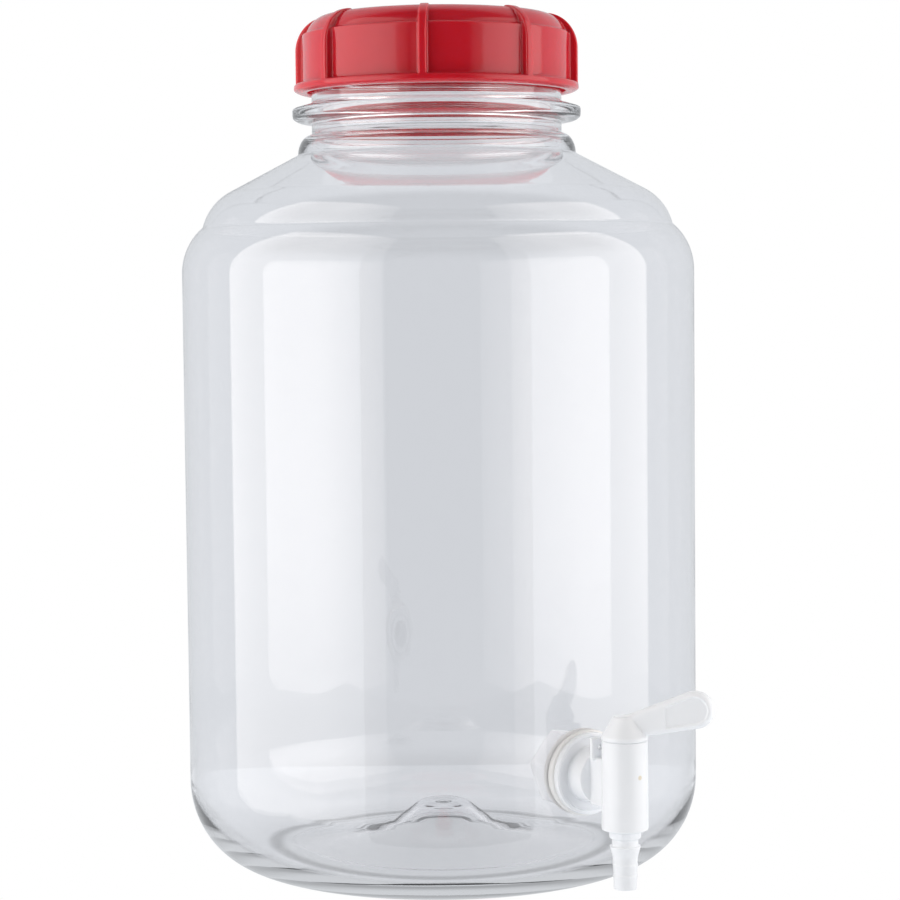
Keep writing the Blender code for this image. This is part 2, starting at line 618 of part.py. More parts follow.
def inlet_bore():
    """The way from the bottle into the barrel: wide in the tube, narrow at the plug."""
    step = FLANGE_OUT + COLLAR_TUBE_LENGTH / 2
    slim = PLUG_PORT_RADIUS + GAP
    return [
        (0, BARREL_OUT), (slim, BARREL_OUT), (slim, step),
        (TUBE_BORE, step - TUBE_BORE + slim), (TUBE_BORE, TUBE_END - OVERRUN), (0, TUBE_END - OVERRUN),
    ]


def spout_profile():
    """The barbed outlet from the plug's lower end down to its tip."""
    neck_z = PLUG_Z - SPOUT_NECK_LENGTH
    below = neck_z - SPOUT_Z
    points = [
        (SPOUT_RADIUS, PLUG_Z), (SPOUT_RADIUS, neck_z),
        (TOP_BARB_RADIUS, neck_z), (SPOUT_RADIUS - BARB_PROUD / 2, neck_z - TOP_BARB_HEIGHT),
    ]
    for share in LOWER_BARB_SHARES:
        barb_z = neck_z - below * share
        root = SPOUT_RADIUS - BARB_PROUD - (SPOUT_RADIUS - SPOUT_TIP_RADIUS) * share ** 2
        points += [(root, barb_z), (root + BARB_PROUD, barb_z), (root, barb_z - BARB_HEIGHT)]
    return points + [(SPOUT_TIP_RADIUS, SPOUT_Z)]


def lever_outline(start, border):
    """The lever's side view as (out, up): a wedge that ends in a round tip, drawn in by a border."""
    radius = LEVER_TIP_RADIUS - border
    tip = arc(LEVER_REACH, LEVER_TIP_Z, radius, radius, LEVER_BOTTOM_SLOPE - 90, LEVER_TOP_SLOPE + 90, 12)
    low = tip[0][1] - (tip[0][0] - start) * tan(radians(LEVER_BOTTOM_SLOPE))
    high = tip[-1][1] - (tip[-1][0] - start) * tan(radians(LEVER_TOP_SLOPE))
    return [(start, low)] + tip + [(start, high)]


def make_tap_plug(material, pivot):
    """The part that turns: tapered core with a side port, head, lever and barbed spout."""
    bore_top = PORT_HEIGHT + PLUG_PORT_RADIUS + PLUG_BORE_PAST_PORT
    rim_top = HEAD_Z + HEAD_RIM_HEIGHT
    outside = [
        (0, HEAD_TOP_Z), (HEAD_TOP_RADIUS, HEAD_TOP_Z), (HEAD_RADIUS, rim_top), (HEAD_RADIUS, HEAD_Z),
        (plug_radius(HEAD_Z), HEAD_Z), (plug_radius(PLUG_Z), PLUG_Z),
    ]
    inside = [
        (SPOUT_BORE, SPOUT_Z), (SPOUT_BORE, BARREL_Z),
        (PLUG_BORE, BARREL_Z + PLUG_BORE - SPOUT_BORE), (PLUG_BORE, bore_top), (0, bore_top),
    ]
    plug = turned("tap_plug", outside + spout_profile() + inside, TAP_STEPS, material=material, parent=pivot)
    outwards = Matrix.Rotation(-pi / 2, 4, "Z")
    lever = plate("lever", lever_outline(-LEVER_PAST_AXIS, 0), LEVER_THICKNESS, parent=pivot, turn=outwards)
    rounding = lever.modifiers.new("Round", "BEVEL")
    rounding.width = LEVER_ROUND
    rounding.segments = 2
    rounding.limit_method = "ANGLE"
    rounding.angle_limit = radians(50)
    for side in (-1, 1):
        face = outwards @ Matrix.Translation((0, side * LEVER_THICKNESS / 2, 0))
        outline = lever_outline(PANEL_START, PANEL_BORDER)
        panel = plate(f"panel_{side + 2}", outline, PANEL_DEPTH * 2, parent=pivot, turn=face)
        combine(lever, "DIFFERENCE", panel)
    port_turn = Matrix.Translation((0, 0, PORT_HEIGHT)) @ Matrix.Rotation(-pi / 2, 4, "X")
    reach = PLUG_RADIUS + OVERRUN
    port = prism("plug_port", TAP_STEPS // 2, PLUG_PORT_RADIUS, 0, reach, parent=pivot, turn=port_turn)
    combine(plug, "UNION", lever)
    combine(plug, "DIFFERENCE", port)
    return plug


clear_scene()
PARTS = new_collection("carboy")
CUTTERS = new_collection("cutters")
ROOT = bpy.data.objects.new("carboy_axis", None)
PARTS.objects.link(ROOT)
ROOT.location = (0, AXIS_Y, 0)
PIVOT = bpy.data.objects.new("plug_axis", None)
PARTS.objects.link(PIVOT)
PIVOT.parent = ROOT
PIVOT.location = (0, -BARREL_OUT, 0)
PIVOT.rotation_euler.z = radians(LEVER_ANGLE)
ALONG_TAP = Matrix.Translation((0, 0, PORT_HEIGHT)) @ Matrix.Rotation(pi / 2, 4, "X")

CLEAR = plastic("clear_pet", (0.82, 0.86, 0.90), 0.05, 0.3)
RED = plastic("red_polypropylene", (0.60, 0.03, 0.03), 0.30)
WHITE = plastic("white_polypropylene", (0.86, 0.87, 0.88), 0.32)
WASHER = plastic("white_washer_rubber", (0.74, 0.74, 0.72), 0.60)
SEAL = plastic("gasket_rubber", (0.80, 0.79, 0.76), 0.70)

smooth(make_bottle(CLEAR), make_gasket(SEAL), make_lid(RED), make_nut(WHITE), *make_washers(WASHER))
smooth(make_tap_body(WHITE), make_tap_plug(WHITE, PIVOT))
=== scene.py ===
# %% [markdown]
# # A clear carboy with a red screw lid and a white lever tap
#
# This lesson dresses a imported CAD model. The CAD says how big each piece is and where it sits. Here each
# piece gets the soft edges, the fine steps and the plastic that the real one has.
#
# The first cell loads the CAD as a fixed frame. Its nodes are in metres and are never moved.

import json
from math import asin, atan2, ceil, cos, degrees, floor, hypot, pi, radians, sin, sqrt, tan

import bmesh
import bpy
from mathutils import Matrix, Vector

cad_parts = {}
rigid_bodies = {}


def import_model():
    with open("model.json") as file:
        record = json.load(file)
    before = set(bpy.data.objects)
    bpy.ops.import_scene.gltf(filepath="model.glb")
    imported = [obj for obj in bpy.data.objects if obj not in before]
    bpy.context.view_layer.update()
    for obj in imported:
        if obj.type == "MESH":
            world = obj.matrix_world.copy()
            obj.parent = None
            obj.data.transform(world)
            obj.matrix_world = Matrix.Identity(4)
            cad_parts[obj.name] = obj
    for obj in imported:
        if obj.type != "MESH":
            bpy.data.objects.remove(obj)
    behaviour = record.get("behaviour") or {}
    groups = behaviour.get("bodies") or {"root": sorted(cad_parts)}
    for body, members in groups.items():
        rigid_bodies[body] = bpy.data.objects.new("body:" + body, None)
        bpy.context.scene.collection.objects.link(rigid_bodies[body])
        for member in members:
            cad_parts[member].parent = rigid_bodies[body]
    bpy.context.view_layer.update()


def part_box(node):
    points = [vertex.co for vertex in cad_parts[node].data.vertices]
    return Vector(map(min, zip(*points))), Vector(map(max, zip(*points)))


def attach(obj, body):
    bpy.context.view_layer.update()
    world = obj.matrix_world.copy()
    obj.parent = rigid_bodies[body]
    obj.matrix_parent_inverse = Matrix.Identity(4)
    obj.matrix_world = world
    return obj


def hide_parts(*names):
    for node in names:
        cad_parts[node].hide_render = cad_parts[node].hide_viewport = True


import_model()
scene = bpy.context.scene

# %% [markdown]
# All sizes below are in millimetres, as on a drawing. One factor turns them into Blender's metres. The
# bottle's axis doesn't run through the origin, because the origin is under the middle of bottle and tap
# together. The lid's box gives the axis, since the lid is round.

# %% Units and the two axes
MM = 0.001
lid_low, lid_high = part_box("lid")
AXIS_Y = (lid_low.y + lid_high.y) / 2 / MM
SITE = Matrix.Translation((0, AXIS_Y * MM, 0))
TAP_HEIGHT = 57.2
ALONG_TAP = SITE @ Matrix.Translation((0, 0, TAP_HEIGHT * MM)) @ Matrix.Rotation(pi / 2, 4, "X")
print("bottle axis at y =", round(AXIS_Y, 2), "mm")

# %% [markdown]
# ## Camera
#
# The photograph looks slightly down at the bottle from its left, so that the tap stands to the right of the
# middle. A long lens from a little over a metre keeps the sides almost parallel. The turn is counted about
# the bottle's axis, and the focal length is in pixels of the picture, which turns into a lens in millimetres.

# %% Camera
CAMERA_HEIGHT, CAMERA_DISTANCE = 259.7, 1122.5
CAMERA_TURN, CAMERA_PITCH, CAMERA_ROLL = -121.0, 3.76, 0.57
PICTURE, FOCAL_PIXELS, SIDE_PIXELS = 900, 2480, 10

around = radians(CAMERA_TURN)
out = Vector((cos(around), sin(around), 0))
ahead = Matrix.Rotation(-SIDE_PIXELS / FOCAL_PIXELS, 3, "Z") @ -out
right = ahead.cross(Vector((0, 0, 1))).normalized()
pitch = radians(CAMERA_PITCH)
look = (ahead * cos(pitch) - Vector((0, 0, 1)) * sin(pitch)).normalized()
roll = Matrix.Rotation(-radians(CAMERA_ROLL), 3, "Z")
basis = Matrix((right, right.cross(look), -look)).transposed() @ roll

camera = bpy.data.objects.new("camera", bpy.data.cameras.new("camera"))
scene.collection.objects.link(camera)
camera.data.sensor_width = 36
camera.data.lens = camera.data.sensor_width * FOCAL_PIXELS / PICTURE
place = Vector((0, AXIS_Y, CAMERA_HEIGHT)) + out * CAMERA_DISTANCE
camera.matrix_world = Matrix.Translation(place * MM) @ basis.to_4x4()
scene.camera = camera
print("lens", round(camera.data.lens, 1), "mm")

# %% [markdown]
# ## Colours and nodes
#
# A colour picked from a picture is an sRGB hex value. Shaders want linear light, so one function converts
# it. Another adds a node with its settings and its links, which keeps the materials short to read.

# %% Colour and node helpers
def linear(hex_colour):
    """An sRGB hex colour as linear red, green, blue and alpha."""
    parts = [int(hex_colour[i:i + 2], 16) / 255 for i in (1, 3, 5)]
    return [p / 12.92 if p <= 0.04045 else ((p + 0.055) / 1.055) ** 2.4 for p in parts] + [1]


def add(tree, kind, settings=(), **inputs):
    """A node with its settings. An input is a value or another node's output socket."""
    node = tree.nodes.new(kind)
    for key, value in dict(settings).items():
        setattr(node, key, value)
    for key, value in inputs.items():
        socket = node.inputs[int(key[1:])] if key[0] == "_" else node.inputs[key.replace("_", " ")]
        if isinstance(value, bpy.types.NodeSocket):
            tree.links.new(value, socket)
        else:
            socket.default_value = value
    return node


def material(name):
    """An empty material, its tree and its surface socket."""
    made = bpy.data.materials.new(name)
    made.use_nodes = True
    made.node_tree.nodes.clear()
    end = made.node_tree.nodes.new("ShaderNodeOutputMaterial")
    return made, made.node_tree, end.inputs["Surface"]


print("helpers ready")

# %% [markdown]
# ## Room and light
#
# A clear bottle has almost no colour of its own. What the eye sees is the room in its walls: two tall
# softboxes beside the camera make the two pale panels, and the unlit room behind the camera makes the dark
# band between them. So the room is built first, and the bottle only shows it.
#
# The picture is of a bottle cut out on white. So a ray that comes straight from the camera finds pure white,
# and a ray that comes by way of the object finds the light grey-blue paper that stands round it.
#
# A clear thing needs one more helper. From behind, the softboxes stand beyond the bottle, and through two
# clear walls they would wash it out. The Light Path node tells how a ray came. A ray that has only passed
# through walls is told apart from one that was mirrored, and only the mirrored one meets the softboxes.

# %% Light helpers
PAPER = "#E8EBEF"


def white_to_camera(tree, surface, kind, strength):
    """Light that is white straight from the camera and paper grey elsewhere. Gives the grey's node."""
    straight = add(tree, "ShaderNodeLightPath").outputs["Is Camera Ray"]
    white = add(tree, kind, Color=(1, 1, 1, 1), Strength=1.0)
    paper = add(tree, kind, Color=linear(PAPER), Strength=strength)
    both = add(tree, "ShaderNodeMixShader", _0=straight, _1=paper.outputs[0], _2=white.outputs[0])
    tree.links.new(both.outputs[0], surface)
    return paper


def ramp(tree, value, start, end, low, high, smooth=True):
    """A value carried from one range to another, with soft ends if asked."""
    kind = {"interpolation_type": "SMOOTHSTEP" if smooth else "LINEAR"}
    return add(tree, "ShaderNodeMapRange", kind, Value=value, From_Min=start, From_Max=end, To_Min=low,
               To_Max=high).outputs[0]


def times(tree, a, b):
    """Two values multiplied."""
    return add(tree, "ShaderNodeMath", {"operation": "MULTIPLY"}, _0=a, _1=b).outputs[0]


def seen_through(tree):
    """One for a ray that has only passed through clear walls since the camera, and nothing for all others."""
    path = add(tree, "ShaderNodeLightPath")
    turned_back = add(tree, "ShaderNodeMath", {"operation": "ADD", "use_clamp": True},
                      _0=path.outputs["Glossy Depth"], _1=path.outputs["Diffuse Depth"]).outputs[0]
    not_yet = add(tree, "ShaderNodeMath", {"operation": "SUBTRACT"}, _0=1.0, _1=turned_back).outputs[0]
    return times(tree, path.outputs["Is Transmission Ray"], not_yet)


print("light helpers ready, paper", PAPER)

# %% [markdown]
# The paper is brightest at the sides, a little dimmer straight behind the bottle, and stops overhead on the
# camera's side, where the studio is dark. That dark ceiling gives the lid's crown its deep red.

# %% Studio paper
PAPER_SIDES, PAPER_BEHIND, DARK_CEILING = 1.14, 0.86, 0.08

world = bpy.data.worlds.new("studio")
scene.world = world
scene.view_settings.view_transform = "Standard"
world.use_nodes = True
sky = world.node_tree
sky.nodes.clear()

direction = add(sky, "ShaderNodeTexCoord").outputs["Generated"]
towards = add(sky, "ShaderNodeVectorMath", {"operation": "DOT_PRODUCT"}, _0=direction, _1=tuple(-out))
up = add(sky, "ShaderNodeSeparateXYZ", Vector=direction).outputs["Z"]
camera_side = ramp(sky, towards.outputs["Value"], -0.1, 0.3, 1.0, 0.0)
ceiling = times(sky, camera_side, ramp(sky, up, 0.25, 0.65, 0.0, 1.0))
paper_light = times(sky, ramp(sky, towards.outputs["Value"], 0.3, 1.0, PAPER_SIDES, PAPER_BEHIND),
                    ramp(sky, ceiling, 0.0, 1.0, 1.0, DARK_CEILING, smooth=False))
behind = add(sky, "ShaderNodeMix", {"data_type": "FLOAT"}, _0=seen_through(sky), _2=paper_light,
             _3=PAPER_BEHIND)
end = add(sky, "ShaderNodeOutputWorld")
paper = white_to_camera(sky, end.inputs["Surface"], "ShaderNodeBackground", 1.0)
sky.links.new(behind.outputs[0], paper.inputs["Strength"])
scene.cycles.max_bounces, scene.cycles.glossy_bounces, scene.cycles.transmission_bounces = 24, 12, 24
print("paper from", PAPER_BEHIND, "to", PAPER_SIDES)

# %% [markdown]
# A softbox is a white cloth lit from inside. An area lamp would do, but a lamp cannot tell a ray that came
# through the walls from one that was mirrored in them. A plane with an Emission shader can. Emission is added
# to a Transparent shader, so the paper behind it still shows where the cloth is dim.
#
# Each softbox is given by its two upright edges: the angle from the camera and the distance of the near one,
# then of the far one. Towards the camera and towards its foot the cloth is dimmer, which gives the panels in
# the wall their soft inner and lower edges.

# %% Softboxes
SOFTBOXES = {
    "left_softbox": (-22.0, 600, -96.5, 640),
    "right_softbox": (28.5, 600, 98.0, 800),
}
BOX_FOOT, BOX_TOP, BOX_LIGHT = -68, 1050, 1.41
BOX_WHITE = "#FFF9F4"
EDGE_LIGHT, EDGE_SHARE, FOOT_LIGHT, FOOT_SPAN = 0.25, 0.38, 0.55, 120


def from_camera(degrees_right, distance, height):
    """A place seen from the bottle's axis, by its angle to the right of the camera."""
    turn = radians(CAMERA_TURN + degrees_right)
    return Vector((distance * cos(turn), AXIS_Y + distance * sin(turn), height)) * MM


def softbox(name, near_turn, near, far_turn, far):
    """A softbox between two upright edges. Its light fades towards the camera and towards its foot."""
    ends = [from_camera(near_turn, near, BOX_FOOT), from_camera(far_turn, far, BOX_TOP)]
    corners = [(ends[i].x, ends[i].y, ends[j].z) for i, j in ((0, 0), (1, 0), (1, 1), (0, 1))]
    front_cloth = bpy.data.meshes.new(name)
    front_cloth.from_pydata(corners, [], [(0, 1, 2, 3)])
    item = bpy.data.objects.new(name, front_cloth)
    scene.collection.objects.link(item)
    item.visible_camera = False
    along = ends[1] - ends[0]
    along.z = 0
    side = along.normalized()
    first, edge = ends[0].dot(side), EDGE_SHARE * along.length
    lit, tree, surface = material(name)
    point = add(tree, "ShaderNodeNewGeometry").outputs["Position"]
    across = add(tree, "ShaderNodeVectorMath", {"operation": "DOT_PRODUCT"}, _0=point, _1=tuple(side))
    inner = ramp(tree, across.outputs["Value"], first, first + edge, EDGE_LIGHT, 1.0, smooth=False)
    height = add(tree, "ShaderNodeSeparateXYZ", Vector=point).outputs["Z"]
    lower = ramp(tree, height, -FOOT_SPAN * MM, FOOT_SPAN * MM, FOOT_LIGHT, 1.0)
    met = add(tree, "ShaderNodeMath", {"operation": "SUBTRACT"}, _0=1.0, _1=seen_through(tree)).outputs[0]
    level = times(tree, times(tree, times(tree, inner, lower), met), BOX_LIGHT)
    glow = add(tree, "ShaderNodeEmission", Color=linear(BOX_WHITE), Strength=level)
    clear = add(tree, "ShaderNodeBsdfTransparent")
    both = add(tree, "ShaderNodeAddShader", _0=glow.outputs[0], _1=clear.outputs[0])
    tree.links.new(both.outputs[0], surface)
    front_cloth.materials.append(lit)


for name, values in SOFTBOXES.items():
    softbox(name, *values)
print("softboxes", list(SOFTBOXES))

# %% [markdown]
# Two lamps are simple area lights: a weak one above the bottle's back, for the shoulder and the lid's rim,
# and later one for the tap. So one function makes them.

# %% Top light
def area_lamp(name, size, energy, place, target):
    """A square area light that shines from a place towards a target and is not seen itself."""
    lamp = bpy.data.objects.new(name, bpy.data.lights.new(name, "AREA"))
    scene.collection.objects.link(lamp)
    lamp.data.size, lamp.data.energy = size, energy
    lamp.location = place
    lamp.rotation_euler = (Vector(target) - lamp.location).to_track_quat("-Z", "Y").to_euler()
    lamp.visible_camera = False
    return lamp


area_lamp("top_softbox", 0.5, 0.10, from_camera(180, 450, 1000), (0, AXIS_Y * MM, 0.36))
print("top light ready")

# %% [markdown]
# ## Turned shapes
#
# Most pieces of a carboy are round: the bottle is blown in a round mould, and so are the lid's shell and the
# tap's barrel. A Spin or a Screw modifier would make them, but a thread has to rise out of the same skin, and
# a clear wall must not hide a second skin inside it. So one function turns an outline by hand, and a piece
# may push the skin out where a thread or a rib runs.

# %% Outline helpers
def arc(centre, radii, start, end, steps):
    """Points on an elliptic arc, in degrees from straight out, anticlockwise."""
    turns = [radians(start + (end - start) * i / steps) for i in range(steps + 1)]
    return [(centre[0] + radii[0] * cos(t), centre[1] + radii[1] * sin(t)) for t in turns]


def soften(path, cut, steps=4, closed=False):
    """Round each corner of an outline with a small curve that starts a cut's length before it."""
    soft = []
    count = len(path)
    for i, here in enumerate(path):
        if not closed and i in (0, count - 1):
            soft.append(here)
            continue
        before, after = path[i - 1], path[(i + 1) % count]
        ends = []
        for other in (before, after):
            length = hypot(other[0] - here[0], other[1] - here[1])
            part = min(cut, length * 0.45) / max(length, 1e-9)
            ends.append((here[0] + (other[0] - here[0]) * part, here[1] + (other[1] - here[1]) * part))
        corner = (ends[0], here, ends[1])
        for k in range(steps + 1):
            t = k / steps
            weights = ((1 - t) ** 2, 2 * t * (1 - t), t * t)
            soft.append(tuple(sum(w * p[a] for w, p in zip(weights, corner)) for a in (0, 1)))
    return soft


def dense(path, longest, closed=False):
    """Add points so that no step of an outline is longer than asked."""
    full = []
    pairs = list(zip(path, path[1:] + path[:1])) if closed else list(zip(path, path[1:]))
    for a, b in pairs:
        parts = max(1, ceil(hypot(b[0] - a[0], b[1] - a[1]) / longest))
        full += [(a[0] + (b[0] - a[0]) * k / parts, a[1] + (b[1] - a[1]) * k / parts) for k in range(parts)]
    return full if closed else full + [path[-1]]


def offset(path, walls):
    """The same outline moved to its left by a wall's thickness, which may change along it."""
    moved = []
    for i, (r, z) in enumerate(path):
        a, b = path[max(i - 1, 0)], path[min(i + 1, len(path) - 1)]
        length = max(hypot(b[0] - a[0], b[1] - a[1]), 1e-9)
        moved.append((r - (b[1] - a[1]) / length * walls[i], z + (b[0] - a[0]) / length * walls[i]))
    return moved


print("outline helpers ready")

# %% Turn an outline
ON_AXIS = 1e-6


def mesh_object(name, points, faces, matrix=SITE):
    """An object from points in millimetres, placed by a matrix and shaded smooth."""
    mesh = bpy.data.meshes.new(name)
    mesh.from_pydata([tuple(matrix @ (Vector(p) * MM)) for p in points], [], faces)
    mesh.validate()
    mesh.shade_smooth()
    item = bpy.data.objects.new(name, mesh)
    scene.collection.objects.link(item)
    return item


def outward(item):
    """Make all faces look out of the body."""
    shape = bmesh.new()
    shape.from_mesh(item.data)
    bmesh.ops.recalc_face_normals(shape, faces=shape.faces)
    shape.to_mesh(item.data)
    shape.free()
    item.data.shade_smooth()
    return item


def turned(name, path, steps, matrix=SITE, closed=False, mould=None, angles=None):
    """Turn an outline of (radius, z) about Z. mould(angle, r, z, i) gives a point's own radius and z."""
    points, rings = [], []
    for i, (r, z) in enumerate(path):
        if r < ON_AXIS:
            rings.append([len(points)] * steps)
            points.append((0, 0, z))
            continue
        rings.append(list(range(len(points), len(points) + steps)))
        for k in range(steps):
            angle = 2 * pi * k / steps if angles is None else angles(k, r)
            reach, height = mould(angle, r, z, i) if mould else (r, z)
            points.append((reach * cos(angle), reach * sin(angle), height))
    faces = []
    pairs = list(zip(rings, rings[1:] + rings[:1])) if closed else list(zip(rings, rings[1:]))
    for low, high in pairs:
        for k in range(steps):
            n = (k + 1) % steps
            corners = [low[k], low[n], high[n], high[k]]
            faces.append([c for j, c in enumerate(corners) if c not in corners[:j]])
    return outward(mesh_object(name, points, [f for f in faces if len(f) > 2], matrix))


print("turning ready")

# %% [markdown]
# A thread is a ridge that climbs by its lead in each turn. This function gives the ridge's height for any
# angle and level, so that the turned skin can be pushed out by it. The ends fade, as a moulded thread's do.

# %% Thread
def ridge(start, lead, first, turns, half_root, half_crest, depth, fade=0.12):
    """A thread's height at an angle and a level: a flat crest with sloping sides, faded at both ends."""
    def height(angle, z):
        best = 0
        base = (angle / (2 * pi)) % 1
        for whole in range(floor(first) - 1, ceil(first + turns) + 1):
            turn = whole + base
            if not first <= turn <= first + turns:
                continue
            away = abs(z - start - lead * turn)
            flank = (half_root - away) / (half_root - half_crest)
            full = min(1, min(turn - first, first + turns - turn) / fade)
            best = max(best, max(0, min(1, flank)) * full)
        return depth * best * best * (3 - 2 * best)
    return height


print("thread ready")

# %% [markdown]
# ## The bottle
#
# The body is PET, blown into a mould. Going up its outside: a base that is pushed up into a bell with a
# small flat at its tip, the ring it stands on, a wide heel, a straight wall, a shoulder with one soft step, a
# short cone, a collar, and the neck with its ring and thread. The wall is thick under the base and thin at
# the side.
#
# The inside is the same line moved in by the wall. Near the stand the real inside is smoother than the
# outside, so there it has a line of its own.

# %% Bottle sizes
BODY_R, WALL, BASE_WALL = 115.0, 1.4, 4.5
STAND_IN, STAND_OUT, PUNT = 70.0, 80.5, 22.1
HEEL, SHOULDER = 38.5, 266.7
NECK_R, NECK_WALL = 56.1, 2.2
COLLAR_R, COLLAR_Z, COLLAR_H = 62.4, 319.14, 9.0
RING_R, RING_Z, RING_TOP = 64.8, 331.64, 342.14
RIM_Z = 368.44
LEAD, THREAD_START, THREAD_DEPTH = 8.0, 7.2, 1.4
BOTTLE_STEPS = 224

bell = [(0, PUNT - 0.9), (2.2, PUNT - 0.7), (4.6, PUNT), (9.6, PUNT - 0.1), (12.2, 20.0), (16.5, 16.4),
        (23.0, 11.6), (31.0, 7.7), (41.0, 4.9), (52.0, 2.8), (62.0, 1.2), (67.2, 0.75), (STAND_IN, 0.0)]
stand = [(STAND_IN, 0.0), (STAND_OUT, 0.0)]
heel = arc((STAND_OUT, HEEL), (BODY_R - STAND_OUT, HEEL), -90, 0, 40)
lower = arc((88.1, SHOULDER), (26.9, 26.9), 0, 49.7, 22)
upper = arc((81.564, 281.115), (24.7, 24.7), 14.3, 62.2, 22)
collar = arc((NECK_R, COLLAR_Z), (COLLAR_R - NECK_R, COLLAR_H), 0, 90, 12)
ring_foot = RING_Z + 1.6
ring = [(NECK_R, ring_foot), (62.2, ring_foot + 0.7), (64.6, 335.3), (RING_R, 339.6), (NECK_R, RING_TOP)]
print("punt", PUNT, "mm high, step in the shoulder at", round(lower[-1][1], 1), "mm")

# %% Bottle skin
outside = (
    soften(bell, 4.0)[:-1] + soften([bell[-1], stand[1], heel[1]], 1.2)[:-1] + heel[1:-1]
    + soften([heel[-1], lower[0], lower[1]], 2.0)[:-1] + lower[1:-1]
    + soften([lower[-2], upper[0], upper[1]], 0.8)[1:-1] + upper[1:-1]
    + soften([upper[-1], (COLLAR_R, COLLAR_Z), collar[1]], 1.6)[:-1] + collar[1:]
    + soften([collar[-1]] + ring + [(NECK_R, RING_TOP + 4)], 1.1)[1:]
)
outside = dense(outside, 5.0) + dense([(NECK_R, RING_TOP + 4), (NECK_R, RIM_Z)], 0.45)[1:]


def wall_at(r, z):
    """The wall's thickness on the way up from the heel."""
    if z < HEEL:
        return WALL + (BASE_WALL - WALL) * (1 - z / HEEL)
    return WALL + (NECK_WALL - WALL) * min(1, max(0, (z - COLLAR_Z) / COLLAR_H))


smooth_neck = [p for p in outside if not (p[1] > RING_Z - 1 and p[1] < RING_TOP + 1)]
above_heel = [p for p in smooth_neck if p[1] > HEEL - 0.1 and p[0] > NECK_R - 1]
inside_wall = offset(above_heel, [wall_at(*p) for p in above_heel])
inside_heel = arc((STAND_OUT, HEEL), (BODY_R - WALL - STAND_OUT, HEEL - BASE_WALL), -90, 0, 30)
inside_bell = [(0, PUNT + BASE_WALL - 0.3), (9.0, PUNT + BASE_WALL - 0.6)]
inside_bell += [(r, z + BASE_WALL) for r, z in bell if r > 11] + [(STAND_OUT, BASE_WALL)]
inside = soften(inside_bell, 4.0)[:-1] + inside_heel[:-1] + inside_wall[1:]
rim = [(NECK_R, RIM_Z - 0.6), (NECK_R - 0.2, RIM_Z - 0.15), (NECK_R - 0.7, RIM_Z),
       (NECK_R - NECK_WALL + 0.5, RIM_Z), (NECK_R - NECK_WALL, RIM_Z - 0.5)]
outside = [p for p in outside if p[1] < RIM_Z - 0.7 or p[0] < NECK_R - 1]
inside = [p for p in dense(inside, 5.0) if p[1] < RIM_Z - 0.7]
print(len(outside), "points outside,", len(inside), "inside")

# %% [markdown]
# The outline is turned in 224 steps. The port for the tap is drilled afterwards with a Boolean, as the real
# one is drilled after blowing. An exact Boolean keeps the wall watertight.

# %% Turn the bottle and drill the port
neck_thread = ridge(RING_TOP + THREAD_START, LEAD, 0, 1.75, 1.7, 0.8, THREAD_DEPTH)


def neck_mould(angle, r, z, i):
    """The neck's thread rises out of the outer skin only."""
    threaded = i < len(outside) and z > RING_TOP + 4
    return r + (neck_thread(angle, z) if threaded else 0), z


bottle = turned("clear_bottle", outside + rim + inside[::-1], BOTTLE_STEPS, mould=neck_mould)


def cut(item, *cutters, operation="DIFFERENCE"):
    """Join or cut other shapes with an exact Boolean, and keep only the result."""
    for cutter in cutters:
        step = item.modifiers.new("cut", "BOOLEAN")
        step.operation, step.solver, step.object = operation, "EXACT", cutter
    bpy.context.view_layer.update()
    result = bpy.data.meshes.new_from_object(item.evaluated_get(bpy.context.evaluated_depsgraph_get()))
    item.modifiers.clear()
    item.data = result
    for cutter in cutters:
        bpy.data.objects.remove(cutter, do_unlink=True)
    return item


PORT_R, DRILL_FROM, DRILL_TO = 12.7, 97, 120
drill_path = [(0, DRILL_FROM), (PORT_R, DRILL_FROM), (PORT_R, DRILL_TO), (0, DRILL_TO)]
cut(bottle, turned("port_drill", drill_path, 64, matrix=ALONG_TAP))
bottle.data.shade_smooth()
print("bottle:", len(bottle.data.polygons), "faces")
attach(bottle, "bottle")
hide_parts("bottle")

# %% [markdown]
# PET is a clear polyester. Its refractive index is about 1.57, a little above glass, which is why the walls
# mirror the softboxes so well. The body has a very faint blue-grey tint. A blown wall is never quite even,
# so its surface gets a slow waviness of some 45 mm, too shallow to see but enough to bend the reflections,
# and a finer one near 9 mm. The bottle casts no shadow, because light really goes through it.

# %% Clear PET
pet, tree, surface = material("clear_blown_pet")
place = add(tree, "ShaderNodeTexCoord").outputs["Object"]
WAVE_LENGTH, RIPPLE_LENGTH = 45.0, 9.0
waves = add(tree, "ShaderNodeTexNoise", Vector=place, Scale=1 / (WAVE_LENGTH * MM), Detail=1.0)
ripples = add(tree, "ShaderNodeTexNoise", Vector=place, Scale=1 / (RIPPLE_LENGTH * MM), Detail=0.0)
slow = add(tree, "ShaderNodeBump", Strength=0.2, Distance=0.12 * MM, Height=waves.outputs["Fac"])
fast = add(tree, "ShaderNodeBump", Strength=0.05, Distance=0.03 * MM, Height=ripples.outputs["Fac"],
           Normal=slow.outputs[0])
shader = add(tree, "ShaderNodeBsdfPrincipled", Base_Color=linear("#FAFAFB"), Roughness=0.015, IOR=1.57,
             Transmission_Weight=1.0, Normal=fast.outputs[0])
tree.links.new(shader.outputs[0], surface)
bottle.data.materials.clear()
bottle.data.materials.append(pet)
bottle.visible_shadow = False
print("clear PET, IOR 1.57")
